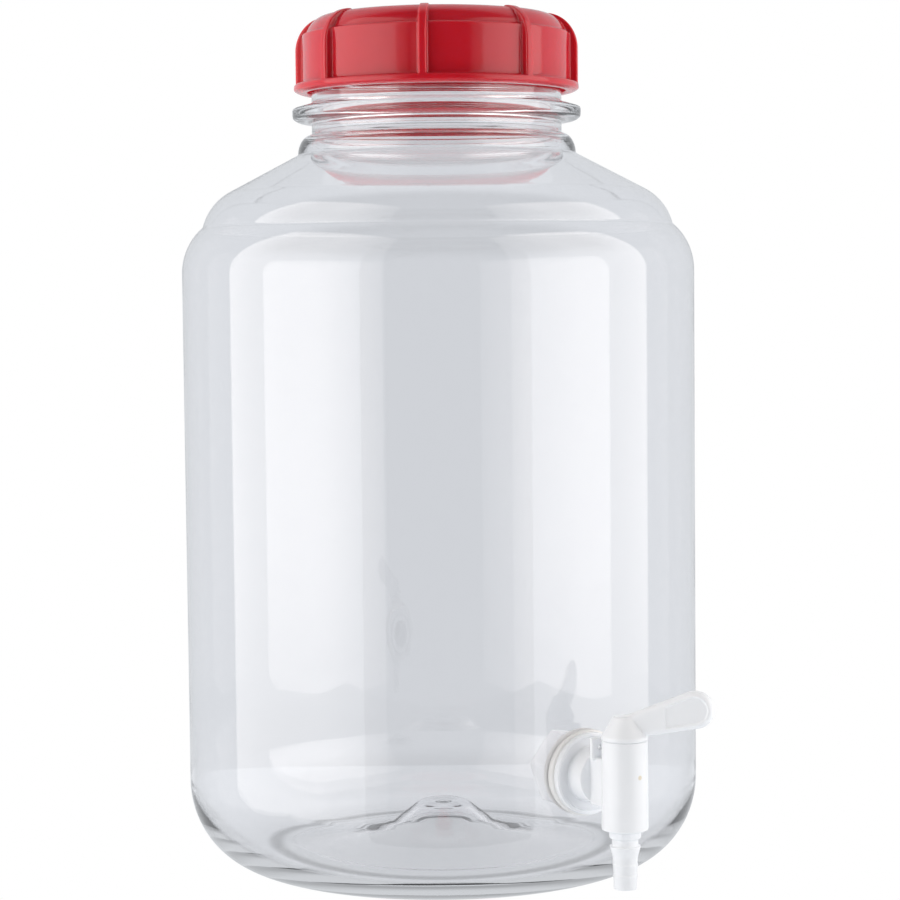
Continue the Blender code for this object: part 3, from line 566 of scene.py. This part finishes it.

# %% [markdown]
# ## Table and dark room
#
# The table is opal acrylic lit from below, which is how a clear thing is photographed without a heavy shadow.
# The glow carries a painted shadow of the bottle's foot: it is weakest in a ring under the stand and grows
# outwards. So its strength follows a colour ramp over the distance from the bottle's axis, given in
# millimetres.

# %% Light table
TABLE_LEFT, TABLE_FRONT, TABLE_BACK, TABLE_THICK = 230, 150, 190, 18
# Painted shadow of the bottle's foot in the table's glow, as (radius in mm, strength).
SHADE = [(0, 0.72), (73, 0.74), (76.5, 0.42), (80, 0.42), (83, 0.84), (110, 0.94), (150, 0.97)]
SHADE_OUT = SHADE[-1][0]


def lying(left, right, near, far, height, turn=0.0):
    """Corners in mm of a level rectangle, measured from the bottle's axis as the camera sees it."""
    return [tuple(from_camera(turn + degrees(atan2(x, y)), hypot(x, y), height) / MM)
            for x, y in ((left, near), (right, near), (right, far), (left, far))]


edges = [corner for height in (0, -TABLE_THICK)
         for corner in lying(-TABLE_LEFT, TABLE_LEFT, TABLE_FRONT, -TABLE_BACK, height)]
sides = [(0, 1, 2, 3), (7, 6, 5, 4), (0, 4, 5, 1), (1, 5, 6, 2), (2, 6, 7, 3), (3, 7, 4, 0)]
table = mesh_object("pale_table", edges, sides, Matrix())
opal, tree, surface = material("opal_acrylic_light_table")
paper = white_to_camera(tree, surface, "ShaderNodeEmission", 1.0)
spot = add(tree, "ShaderNodeVectorMath", {"operation": "MULTIPLY"},
           _0=add(tree, "ShaderNodeNewGeometry").outputs["Position"], _1=(1, 1, 0))
reach = add(tree, "ShaderNodeVectorMath", {"operation": "DISTANCE"}, _0=spot.outputs[0],
            _1=(0, AXIS_Y * MM, 0))
# The ramp paints the foot's shadow into the table's glow.
shade = add(tree, "ShaderNodeValToRGB", Fac=times(tree, reach.outputs["Value"], 1 / (SHADE_OUT * MM)))
steps = shade.color_ramp.elements
steps[0].position, steps[1].position = 0.0, 1.0
for radius, level in SHADE[1:-1]:
    steps.new(radius / SHADE_OUT)
for step, (radius, level) in zip(steps, SHADE):
    step.color = (level, level, level, 1)
tree.links.new(shade.outputs["Color"], paper.inputs["Strength"])
table.data.materials.append(opal)
print("table", 2 * TABLE_LEFT, "mm wide")

# %% [markdown]
# A white card lies in front of the table and throws light up at the lid and the tap. It lights matt surfaces
# only, so no wall and no gloss shows it. Behind the camera hangs a black cloth. It is seen in glossy surfaces
# only, so it darkens the middle of the bottle and of the lid but stands in no view.

# %% White card and black cloth
CARD_TURN, CARD_HALF, CARD_REACH, CARD_GAP, CARD_LIGHT = 20.0, 190, 480, 4, 1.1
card_corners = lying(-CARD_HALF, CARD_HALF, TABLE_FRONT + CARD_GAP, CARD_REACH, -1, CARD_TURN)
card = mesh_object("white_card", card_corners, [(0, 1, 2, 3)], Matrix())
board, tree, surface = material("white_card")
tree.links.new(add(tree, "ShaderNodeEmission", Color=linear(PAPER), Strength=CARD_LIGHT).outputs[0], surface)
card.data.materials.append(board)
card.visible_camera = card.visible_glossy = card.visible_transmission = False

CLOTH_AWAY, CLOTH_HALF, CLOTH_TOP, CLOTH_TURN = 1500, 1100, 1500, 3.0
cloth_at = from_camera(CLOTH_TURN, CLOTH_AWAY, 0)
facing = (Vector((0, AXIS_Y * MM, 0)) - cloth_at).to_track_quat("Y", "Z").to_matrix().to_4x4()
corners = [(-CLOTH_HALF, 0, -CLOTH_HALF), (CLOTH_HALF, 0, -CLOTH_HALF), (CLOTH_HALF, 0, CLOTH_TOP),
           (-CLOTH_HALF, 0, CLOTH_TOP)]
cloth = mesh_object("black_cloth", corners, [(0, 1, 2, 3)], Matrix.Translation(cloth_at) @ facing)
felt, tree, surface = material("black_cloth")
dark = add(tree, "ShaderNodeBsdfPrincipled", Base_Color=linear("#101114"), Roughness=0.95)
tree.links.new(dark.outputs[0], surface)
cloth.data.materials.append(felt)
cloth.visible_camera = False
cloth.visible_transmission = False
print("card", CARD_REACH, "mm out, cloth", CLOTH_AWAY, "mm away")

# %% [markdown]
# ## The screw lid
#
# The lid is one moulding in red polypropylene: a round shell with a soft crown, a small ledge below the
# crown, eight upright grip ribs that run up over it, and a lip round the foot. Ribs joined on with a Boolean
# would meet the shell in hard lines. A mould has small rounds there, so the skin is lofted between two
# outlines instead: the shell's own, and the rib's. A rib's section says how far each point has gone from one
# to the other.

# %% Lid outlines
RIB_R, LID_R, LID_Z = 63.6, 60.0, 346.74
LID_TOP, LEDGE_Z = 380.74, 372.54
LIP_R, LIP_TOP = 63.95, 350.5
LID_BORE, SEAT_Z, CEILING = 58.0, 371.04, 378.54
CROWN_R, CROWN_Z = 49.2, 365.74

pairs = [((r, LID_TOP), (r, LID_TOP)) for r in (0, 12, 24, 34, 41, 45.5, 48.0)]
pairs += [((48.7, LID_TOP), (48.7, LID_TOP + 0.35))]
ledge_turn = asin((LEDGE_Z - CROWN_Z) / 15.0)
for k in range(19):
    t = pi / 2 + (ledge_turn - pi / 2) * k / 18
    shell = (CROWN_R + 10.5 * cos(t), CROWN_Z + 15.0 * sin(t))
    pairs.append((shell, (CROWN_R + 14.4 * cos(t), CROWN_Z + 15.6 * sin(t))))
last = pairs[-1][1]
for r, z in ((58.75, LEDGE_Z + 0.1), (59.5, LEDGE_Z + 0.02), (59.85, LEDGE_Z - 0.14), (LID_R, LEDGE_Z - 0.5)):
    pairs.append(((r, z), (last[0] + (r - 58.56) * 0.12, last[1] - (r - 58.56) * 0.3)))
for k in range(1, 8):
    t = ledge_turn * (0.93 - k / 7.6)
    pairs.append(((LID_R, CROWN_Z + 15.0 * sin(t)), (CROWN_R + 14.4 * cos(t), CROWN_Z + 15.6 * sin(t))))
pairs += [((LID_R, z), (RIB_R, z)) for z in (364.4, 361, 358, 355.4, 353.6, 352.4)]
pairs += [
    ((60.05, 351.1), (RIB_R, 351.3)), ((60.25, 350.7), (RIB_R, 351.0)), ((60.7, 350.52), (RIB_R, 350.75)),
    ((62.6, LIP_TOP), (63.62, 350.5)), ((63.3, 350.36), (63.66, 350.3)), ((63.72, 350.0), (63.76, 350.0)),
]
bead = [(63.86, 349.5), (LIP_R, 348.6), (63.9, 348.2), (63.6, 347.75), (62.95, 347.33), (62.1, 346.97),
        (61.2, LID_Z)]
pairs += [(p, p) for p in bead]
print(len(pairs), "pairs of points, lip", 2 * LIP_R, "mm across")

# %% [markdown]
# Inside, the lid has a straight bore for the thread, a flat seat for the sealing ring and a ceiling.

# %% Inside of the lid
under = [(58.7, LID_Z), (58.2, LID_Z + 0.15), (LID_BORE, LID_Z + 0.6)]
bore = dense([(LID_BORE, LID_Z + 1.0), (LID_BORE, 368.24)], 0.55)
seat = [(57.1, 368.74), (57.1, SEAT_Z), (51.5, SEAT_Z), (49.5, 376.54), (45.5, CEILING), (0, CEILING)]
inner = under + bore + dense(soften(seat, 0.5), 6.0)
lid_path = [shell for shell, _ in pairs] + inner
print(len(lid_path), "points round the lid's section")

# %% [markdown]
# A rib's section is a table of how far a point stands from the rib's middle, in millimetres, and how far it
# has gone from the shell to the rib's own outline. The samples crowd at the flanks, where the round is small.
# Within 30 mm of the lid's middle they would cross, so there they draw together with the radius.

# %% Rib section
RIBS, RIB_TURN, BETWEEN = 8, radians(8.6), 13
RIB_SIDE = ((0.0, 1), (0.6, 1), (1.05, 0.995), (1.35, 0.97), (1.55, 0.91), (1.68, 0.8), (1.76, 0.62),
            (1.82, 0.38), (1.9, 0.18), (2.05, 0.07), (2.35, 0.02), (2.8, 0))
half_rib = [s for s, _ in RIB_SIDE]
across = [-s for s in half_rib[:0:-1]] + half_rib
weights = dict(RIB_SIDE)
PER_RIB = len(across) + BETWEEN
CROWN_NARROW = 30


def lid_angle(k, r):
    """Samples crowd at a rib's sides, and a rib keeps its width as it runs over the crown."""
    number, place = divmod(k, PER_RIB)
    start = RIB_TURN + 2 * pi * number / RIBS
    if place < len(across):
        return start + asin(across[place] / max(r, CROWN_NARROW))
    edge = asin(half_rib[-1] / max(r, CROWN_NARROW))
    part = (place - len(across) + 1) / (BETWEEN + 1)
    return start + edge + (2 * pi / RIBS - 2 * edge) * part


print(RIBS, "ribs,", RIBS * PER_RIB, "samples round the lid")

# %% [markdown]
# The lid's own thread stands in from the bore by as much as the neck's stands out. It starts 3 mm lower, so
# that the two lie side by side.

# %% Turn the lid
lid_thread = ridge(RING_TOP + THREAD_START - 3.0, LEAD, 0.5, 1.25, 1.7, 0.8, THREAD_DEPTH)


def lid_mould(angle, r, z, i):
    """The skin goes from shell to rib outline, and the thread stands in from the bore."""
    if i < len(pairs):
        number = round((angle - RIB_TURN) / (2 * pi / RIBS))
        side = abs(sin(angle - RIB_TURN - number * 2 * pi / RIBS)) * max(r, CROWN_NARROW)
        near = min(half_rib, key=lambda s: abs(s - side))
        weight = weights[near] if abs(near - side) < 1e-6 * max(r, CROWN_NARROW) + 1e-4 else 0
        shell, rib = pairs[i]
        return shell[0] + (rib[0] - shell[0]) * weight, shell[1] + (rib[1] - shell[1]) * weight
    threaded = abs(r - LID_BORE) < 0.01
    return r - (lid_thread(angle, z) if threaded else 0), z


lid = turned("red_screw_lid", lid_path, RIBS * PER_RIB, mould=lid_mould, angles=lid_angle)
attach(lid, "lid")
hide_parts("lid")
print("lid:", len(lid.data.polygons), "faces")

# %% [markdown]
# Polypropylene is a waxy plastic. Moulded and coloured red, it has a soft gloss with a faint grain from the
# mould, and light goes a little way in, which lifts the shadows. Its refractive index is about 1.49. The slow
# unevenness is that of sink marks, about 11 mm apart, and the grain of a blasted mould is drawn at 0.5 mm,
# coarser than it is, so that it shows.

# %% Moulded polypropylene
SINK_MARKS, GRAIN, ROUGHNESS_SPREAD = 11.0, 0.5, 0.015


def moulded(name, hex_colour, roughness, depth, weight, colours_in):
    """Coloured polypropylene: soft gloss, a slow unevenness of the mould, and a fine grain."""
    made, tree, surface = material(name)
    place = add(tree, "ShaderNodeTexCoord").outputs["Object"]
    marks = add(tree, "ShaderNodeTexNoise", Vector=place, Scale=1 / (SINK_MARKS * MM), Detail=1.0)
    grain = add(tree, "ShaderNodeTexNoise", Vector=place, Scale=1 / (GRAIN * MM), Detail=2.0)
    slow = add(tree, "ShaderNodeBump", Strength=0.20, Distance=0.04 * MM, Height=marks.outputs["Fac"])
    fine = add(tree, "ShaderNodeBump", Strength=0.05, Distance=0.01 * MM, Height=grain.outputs["Fac"],
               Normal=slow.outputs[0])
    colour = linear(hex_colour)
    shade = add(tree, "ShaderNodeMix", {"data_type": "RGBA"}, _0=marks.outputs["Fac"],
                _6=[c * 0.97 for c in colour[:3]] + [1], _7=[min(1, c * 1.03) for c in colour[:3]] + [1])
    worn = add(tree, "ShaderNodeMapRange", Value=grain.outputs["Fac"], To_Min=roughness - ROUGHNESS_SPREAD,
               To_Max=roughness + ROUGHNESS_SPREAD)
    shader = add(tree, "ShaderNodeBsdfPrincipled", Base_Color=shade.outputs[2], Roughness=worn.outputs[0],
                 IOR=1.49, Subsurface_Weight=weight, Subsurface_Scale=depth * MM,
                 Subsurface_Radius=colours_in, Normal=fine.outputs[0])
    tree.links.new(shader.outputs[0], surface)
    return made, tree, shader


red_plastic, _, _ = moulded("red_moulded_polypropylene", "#C7202F", 0.12, 4.0, 0.70, (1.0, 0.2, 0.15))
lid.data.materials.append(red_plastic)
print("red polypropylene, IOR 1.49")

# %% [markdown]
# ## The lid's seal and the two washers
#
# A flat rubber ring seals the lid on the rim. On the tap, one washer sits on each side of the bottle's wall.
# A soft washer takes the wall's curve on the face that is pressed to it, and stays flat on the other.

# %% Lid seal
seal = turned("lid_seal", soften([(52.3, 370.74), (56.8, 370.74), (56.8, 368.74), (52.3, 368.74)], 0.4,
              closed=True), 160, closed=True)
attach(seal, "gasket")
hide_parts("lid_gasket")
print("lid seal:", len(seal.data.polygons), "faces")

# %% Washers
WASHER_IN_R, WASHER_R = 12.7, 18.1
FLANGE_IN, NUT_OUT, SQUEEZED_GAP = 117.1, 110.34, 0.03


def washer(name, node, flat, wall_radius, wall_first):
    """A washer with one flat face and one that fits the bottle's wall."""
    side = [(WASHER_IN_R, 1), (WASHER_R - 0.5, 1), (WASHER_R - 0.12, 0.85), (WASHER_R, 0.5),
            (WASHER_R - 0.12, 0.15), (WASHER_R - 0.5, 0), (WASHER_IN_R, 0)]

    def fit(angle, r, z, i):
        wall = sqrt(wall_radius ** 2 - (r * cos(angle)) ** 2)
        low, high = (wall, flat) if wall_first else (flat, wall)
        return r, low + (high - low) * z
    item = turned(name, side, 96, matrix=ALONG_TAP, closed=True, mould=fit)
    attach(item, "bottle")
    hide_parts(node)
    return item


outer_washer = washer("outer_wall_washer", "outer_washer", FLANGE_IN - SQUEEZED_GAP, BODY_R + SQUEEZED_GAP,
                      True)
inner_washer = washer("inner_wall_washer", "inner_washer", NUT_OUT + SQUEEZED_GAP,
                      BODY_R - WALL - SQUEEZED_GAP, False)
print("two washers", 2 * WASHER_R, "mm across")

# %% [markdown]
# Both rubbers are matt, with a fine tooth from the mould. Real tooth is too fine to show, so it is drawn at
# 0.6 mm. The seal is a little darker than the washers, which are almost white.

# %% Rubbers
TOOTH = 0.6


def rubber(name, hex_colour):
    """Soft moulded rubber, matt with a fine tooth."""
    made, tree, surface = material(name)
    place = add(tree, "ShaderNodeTexCoord").outputs["Object"]
    tooth = add(tree, "ShaderNodeTexNoise", Vector=place, Scale=1 / (TOOTH * MM), Detail=3.0)
    bump = add(tree, "ShaderNodeBump", Strength=0.35, Distance=0.05 * MM, Height=tooth.outputs["Fac"])
    colour = linear(hex_colour)
    shade = add(tree, "ShaderNodeMix", {"data_type": "RGBA"}, _0=tooth.outputs["Fac"],
                _6=[c * 0.9 for c in colour[:3]] + [1], _7=colour)
    shader = add(tree, "ShaderNodeBsdfPrincipled", Base_Color=shade.outputs[2], Roughness=0.62, IOR=1.52,
                 Normal=bump.outputs[0])
    tree.links.new(shader.outputs[0], surface)
    return made


seal.data.materials.append(rubber("pale_seal_rubber", "#DEDBD3"))
washer_rubber = rubber("white_washer_rubber", "#F9F8F6")
for item in (outer_washer, inner_washer):
    item.data.materials.append(washer_rubber)
print("rubbers ready")

# %% [markdown]
# ## The back nut
#
# The nut inside the bottle holds the tap. It is a hexagon with chamfered corners. Turning it lets the
# hexagon, the chamfer and the thread come from one skin: at each angle the outside is the nearer of the
# hexagon's flat and the chamfer's cone.

# %% Back nut outline
NUT_IN, NUT_FLATS, NUT_BORE, NUT_CHAMFER, NUT_TURN = 98.14, 29.9, 12.3, 0.8, 50.5
TUBE_LEAD = 2.3
corner = NUT_FLATS / 2 / cos(radians(30))
nut_path = dense([(NUT_BORE, NUT_IN + 0.3), (NUT_BORE, NUT_OUT - 0.3)], 0.28)[::-1]
nut_path += [(NUT_BORE + 0.3, NUT_IN), (13.6, NUT_IN), (corner - NUT_CHAMFER - 0.6, NUT_IN)]
outer_start = len(nut_path) - 1
levels = [0.0, 0.12, 0.45, NUT_CHAMFER, 1.6, 3.2]
nut_path += [(corner, NUT_IN + z) for z in levels] + [(corner, NUT_OUT - z) for z in levels[::-1]]
outer_end = len(nut_path)
nut_path += [(corner - NUT_CHAMFER - 0.6, NUT_OUT), (13.6, NUT_OUT), (NUT_BORE + 0.3, NUT_OUT)]
print(len(nut_path), "points round the nut's section")

# %% Turn the nut
nut_thread = ridge(NUT_IN + 0.9, TUBE_LEAD, 0, (NUT_OUT - NUT_IN - 1.8) / TUBE_LEAD, 0.85, 0.25, 0.8, 0.2)


def nut_mould(angle, r, z, i):
    """Hexagon, chamfer and thread in one skin."""
    if r == NUT_BORE:
        return r - nut_thread(angle, z), z
    turn = (degrees(angle) - NUT_TURN + 30) % 60 - 30
    flat = NUT_FLATS / 2 / cos(radians(30 - abs(turn)))
    flat -= 0.35 * max(0, 1 - abs(turn) / 2.5)
    if outer_start < i < outer_end:
        edge = min(z - NUT_IN, NUT_OUT - z)
        cone = corner - NUT_CHAMFER + min(edge, NUT_CHAMFER)
        return min(flat - 0.18 * max(0, 1 - edge / 0.3) ** 2, cone), z
    return min(r, flat - 0.3), z


nut = turned("back_nut_moulded", nut_path, 6 * 30, matrix=ALONG_TAP, closed=True, mould=nut_mould)
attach(nut, "bottle")
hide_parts("back_nut")
print("nut", NUT_FLATS, "mm across flats")

# %% [markdown]
# ## The tap's body
#
# One white moulding: an upright barrel, a squared boss behind it, a round collar, a cupped flange, and the
# threaded tube that passes the wall. The shapes are joined and bored with Booleans. A fine voxel remesh and a
# little smoothing then give every edge, inner and outer, the small round that a mould leaves.

# %% Joining helpers
def block(name, low, high, edge=0.6):
    """A box with rounded edges, from corner to corner in the tap's own place."""
    shape = bmesh.new()
    bmesh.ops.create_cube(shape, size=1)
    for vert in shape.verts:
        vert.co = Vector((low[a] + high[a]) / 2 + vert.co[a] * (high[a] - low[a]) for a in range(3))
    bmesh.ops.bevel(shape, geom=shape.edges[:], offset=edge, segments=3, affect="EDGES", profile=0.5)
    points = [tuple(v.co) for v in shape.verts]
    shape.verts.index_update()
    faces = [[v.index for v in f.verts] for f in shape.faces]
    shape.free()
    return mesh_object(name, points, faces, SITE)


def mould_edges(item, voxel, passes):
    """Remesh finely and smooth, so that all edges get a small round."""
    step = item.modifiers.new("grain", "REMESH")
    step.mode, step.voxel_size, step.use_smooth_shade = "VOXEL", voxel * MM, True
    soft = item.modifiers.new("round", "SMOOTH")
    soft.factor, soft.iterations = 0.5, passes
    bpy.context.view_layer.update()
    item.data = bpy.data.meshes.new_from_object(item.evaluated_get(bpy.context.evaluated_depsgraph_get()))
    item.modifiers.clear()
    item.data.shade_smooth()
    return item


print("joining helpers ready")

# %% Barrel and inlet
BARREL_OUT, BARREL_R, BARREL_Z, BARREL_TOP = 143.6, 9.4, 38.2, 75.1
FLANGE_OUT, FLANGE_R, COLLAR_OUT, COLLAR_TUBE_R = 118.5, 17.2, 128.2, 11.4
TUBE_END, TUBE_R = 97.54, 11.2
AT_BARREL = SITE @ Matrix.Translation((0, -BARREL_OUT * MM, 0))
VOXEL, ROUNDING = 0.3, 4

barrel = soften([(0, BARREL_TOP), (BARREL_R, BARREL_TOP), (BARREL_R + 0.2, BARREL_Z), (0, BARREL_Z)], 0.5)
tap_body = turned("tap_body_moulded", barrel, 96, matrix=AT_BARREL)
inlet_path = [
    (0, COLLAR_OUT), (COLLAR_TUBE_R, COLLAR_OUT), (COLLAR_TUBE_R, FLANGE_OUT), (15.5, FLANGE_OUT),
    (15.5, FLANGE_OUT + 1.4), (FLANGE_R, FLANGE_OUT + 1.4), (FLANGE_R, FLANGE_IN), (TUBE_R, FLANGE_IN),
]
inlet_path = soften(inlet_path, 0.35)
tube = dense([(TUBE_R, FLANGE_IN - 0.3), (TUBE_R, TUBE_END)], 0.3)
inlet_path = inlet_path[:-1] + tube + [(0, TUBE_END)]
tube_thread = ridge(NUT_IN + 2.0, TUBE_LEAD, 0, 6.6, 0.85, 0.25, 0.8, 0.2)


def tube_mould(angle, r, z, i):
    """The tube's thread stands out from it."""
    return r + (tube_thread(angle, z) if r == TUBE_R and z < FLANGE_IN - 0.4 else 0), z


inlet = turned("inlet", inlet_path, 96, matrix=ALONG_TAP, mould=tube_mould)
print("inlet:", len(inlet_path), "points in its section")

# %% [markdown]
# The boss joins the barrel to the inlet, and a flat tab stands behind the barrel with a small pin hole. Then
# the tapered bore for the plug and the way in for the liquid are cut.

# %% Join and bore the tap body
boss = block("boss", (-6.4, -BARREL_OUT, 46.3), (6.4, 0.5 - COLLAR_OUT, 66.6), 0.8)
tab = block("tab", (-8.1, -132.1, 65.6), (8.1, -129.9, 74.7), 0.5)
cut(tap_body, inlet, boss, tab, operation="UNION")
bore = turned("bore", [(0, 77.1), (7.743, 77.1), (6.857, 36.2), (0, 36.2)], 96, matrix=AT_BARREL)
way_path = [(0, BARREL_OUT), (4.5, BARREL_OUT), (4.5, 123.35), (8, 119.85), (8, 95), (0, 95)]
way_in = turned("way_in", way_path, 64, matrix=ALONG_TAP)
AT_PIN = SITE @ Matrix.Translation((-4.1 * MM, 0, 70.65 * MM)) @ Matrix.Rotation(pi / 2, 4, "X")
pin_hole = turned("pin_hole", [(0, 128), (1.0, 128), (1.0, 140), (0, 140)], 24, matrix=AT_PIN)
cut(tap_body, bore)
cut(tap_body, way_in, pin_hole)
mould_edges(tap_body, VOXEL, ROUNDING)
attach(tap_body, "bottle")
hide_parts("tap_body")
print("tap body:", len(tap_body.data.polygons), "faces")

# %% [markdown]
# ## The plug with its lever and spout
#
# The part that turns is one moulding too: a tapered core with a hole in its side, a conical head, a lever
# with a shallow panel on each side, and a barbed outlet for a hose. The lever stands half-way, as it does in
# the photograph. Its edge is a full round, so it is lofted from outlines that draw in as they rise.

# %% Lever and loft helpers
HEAD_Z, HEAD_TOP, HEAD_R, PLUG_Z, SPOUT_Z = 75.13, 84.8, 9.6, 34.8, 13.7
LEVER_START, LEVER_REACH, LEVER_TIP_R, LEVER_TIP_Z = -2.6, 29.0, 7.8, 88.3
TOP_SLOPE, BOTTOM_SLOPE, LEVER_HALF, LEVER_ROUND = radians(21.7), radians(10.3), 3.0, 2.4
PANEL_START, PANEL_FLOOR, PANEL_CLEAR = 17.0, 2.5, 4.0
AT_PLUG = AT_BARREL @ Matrix.Rotation(radians(45), 4, "Z")
OUTWARDS = AT_PLUG @ Matrix.Rotation(-pi / 2, 4, "Z")


def core(z):
    """The plug's tapered radius."""
    return 7.4 - 0.8 * (BARREL_TOP - z) / (BARREL_TOP - BARREL_Z)


def lever_line(start, inset):
    """The lever's side view as (out, up), drawn in by an inset: a wedge that ends in a round tip."""
    tip = arc((LEVER_REACH, LEVER_TIP_Z), (LEVER_TIP_R - inset,) * 2, degrees(BOTTOM_SLOPE) - 90,
              degrees(TOP_SLOPE) + 90, 28)
    low = tip[0][1] - (tip[0][0] - start) * tan(BOTTOM_SLOPE)
    high = tip[-1][1] - (tip[-1][0] - start) * tan(TOP_SLOPE)
    return [(start, low)] + tip + [(start, high)]


def loft(name, rings, matrix):
    """Close a stack of outlines of (out, up) at their own sides into one body."""
    points = [(x, y, z) for ring_points, y in rings for x, z in ring_points]
    count = len(rings[0][0])
    faces = [list(range(count)), [count * (len(rings) - 1) + i for i in range(count)][::-1]]
    for n in range(len(rings) - 1):
        for i in range(count):
            j = (i + 1) % count
            faces.append([n * count + i, n * count + j, (n + 1) * count + j, (n + 1) * count + i])
    return outward(mesh_object(name, points, faces, matrix))


print("plug and lever helpers ready")

# %% [markdown]
# The plug is turned with its head, core, barbed spout and hollow in one outline. Each barb is a cone with a
# sharp upper edge that holds the hose, so its root is smaller than its rim.

# %% Turn the plug
neck_z = PLUG_Z - 3.2
spout = [(5.4, PLUG_Z), (5.4, neck_z), (6.5, neck_z), (5.2, neck_z - 4.5)]
for share in (0.42, 0.67):
    barb = neck_z - (neck_z - SPOUT_Z) * share
    root = 5.05 - 0.45 * share ** 2
    spout += [(root, barb + 0.05), (root + 0.3, barb), (root, barb - 2.0)]
spout += [(4.75, SPOUT_Z)]
head = soften([(0, HEAD_TOP), (4.5, HEAD_TOP), (HEAD_R, HEAD_Z + 1.6)], 0.7)
head += soften([(HEAD_R, HEAD_Z + 1.6), (HEAD_R, HEAD_Z), (core(HEAD_Z), HEAD_Z)], 0.3)[1:]
hollow = [(3.4, SPOUT_Z), (3.4, BARREL_Z), (4.6, 39.4), (4.6, 63.2), (0, 63.2)]
plug_path = head + [(core(PLUG_Z), PLUG_Z)] + soften(spout, 0.3) + hollow
plug = turned("tap_plug_moulded", plug_path, 96, matrix=AT_PLUG)
print("plug:", len(plug_path), "points in its section")

# %% [markdown]
# The lever is a stack of outlines from one side to the other. A shallow panel is cut in each side, and the
# core gets the port that meets the inlet when the tap is open.

# %% Lever and port
rings = []
for k in range(9):
    t = pi / 2 * k / 8
    rings.append((lever_line(LEVER_START, LEVER_ROUND * (1 - sin(t))), -LEVER_HALF * cos(t)))
rings += [(line, -y) for line, y in rings[-2::-1]]
lever = loft("lever", rings, OUTWARDS)
panels = []
for side in (-1, 1):
    outline = soften(lever_line(PANEL_START, LEVER_ROUND)[::-1], 1.0, closed=True)
    layers = [(outline, side * PANEL_FLOOR), (outline, side * PANEL_CLEAR)]
    panels.append(loft(f"panel_{side + 1}", layers, OUTWARDS))
cut(lever, *panels)
cut(plug, lever, operation="UNION")
AT_PORT = AT_PLUG @ Matrix.Translation((0, 0, TAP_HEIGHT * MM)) @ Matrix.Rotation(-pi / 2, 4, "X")
cut(plug, turned("plug_port", [(0, 0), (4.2, 0), (4.2, 9.4), (0, 9.4)], 48, matrix=AT_PORT))
mould_edges(plug, VOXEL, ROUNDING)
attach(plug, "tap_plug")
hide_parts("tap_plug")
print("tap plug:", len(plug.data.polygons), "faces")

# %% [markdown]
# White polypropylene is milky: some light passes through a thin lever, so it glows against a pale room. The
# barrel shows one small beige spot where the plastic entered the mould.

# %% White polypropylene
GATE_TURN, GATE_Z, GATE_R = 5.0, 60.8, 1.15
white_plastic, tree, shader = moulded("white_moulded_polypropylene", "#F5F7FA", 0.26, 2.0, 0.30,
                                      (1.0, 1.0, 1.0))
for item in (tap_body, plug, nut):
    item.data.materials.clear()
    item.data.materials.append(white_plastic)
gate_at = AT_BARREL @ (Matrix.Rotation(radians(GATE_TURN), 3, "Z") @ Vector((0, -BARREL_R, GATE_Z)) * MM)
from_gate = add(tree, "ShaderNodeVectorMath", {"operation": "DISTANCE"}, _1=tuple(gate_at),
                _0=add(tree, "ShaderNodeTexCoord").outputs["Object"])
gate = ramp(tree, from_gate.outputs["Value"], GATE_R * 0.6 * MM, GATE_R * MM, 1.0, 0.0)
clean = shader.inputs["Base Color"].links[0].from_socket
marked = add(tree, "ShaderNodeMix", {"data_type": "RGBA"}, _0=gate, _6=clean, _7=linear("#E6DCC6"))
tree.links.new(marked.outputs[2], shader.inputs["Base Color"])
print("white polypropylene, IOR 1.49")

# %% [markdown]
# The tap is white and stands in front of the dark band, so a small lamp fills its shaded side. The lamp
# lights the tap's own pieces alone: in the red lid and the clear wall it would only flatten the dark band.

# %% Fill for the tap
white_pieces = bpy.data.collections.new("white_pieces")
for item in (tap_body, plug, nut, outer_washer, inner_washer):
    white_pieces.objects.link(item)
fill = area_lamp("tap_fill", 0.4, 0.85, from_camera(-4, 900, 300), (0, -0.1, 0.06))
fill.visible_glossy = fill.visible_transmission = False
fill.light_linking.receiver_collection = white_pieces

# %% [markdown]
# Last, the scene is brought up to date.

# %% Finish
bpy.context.view_layer.update()
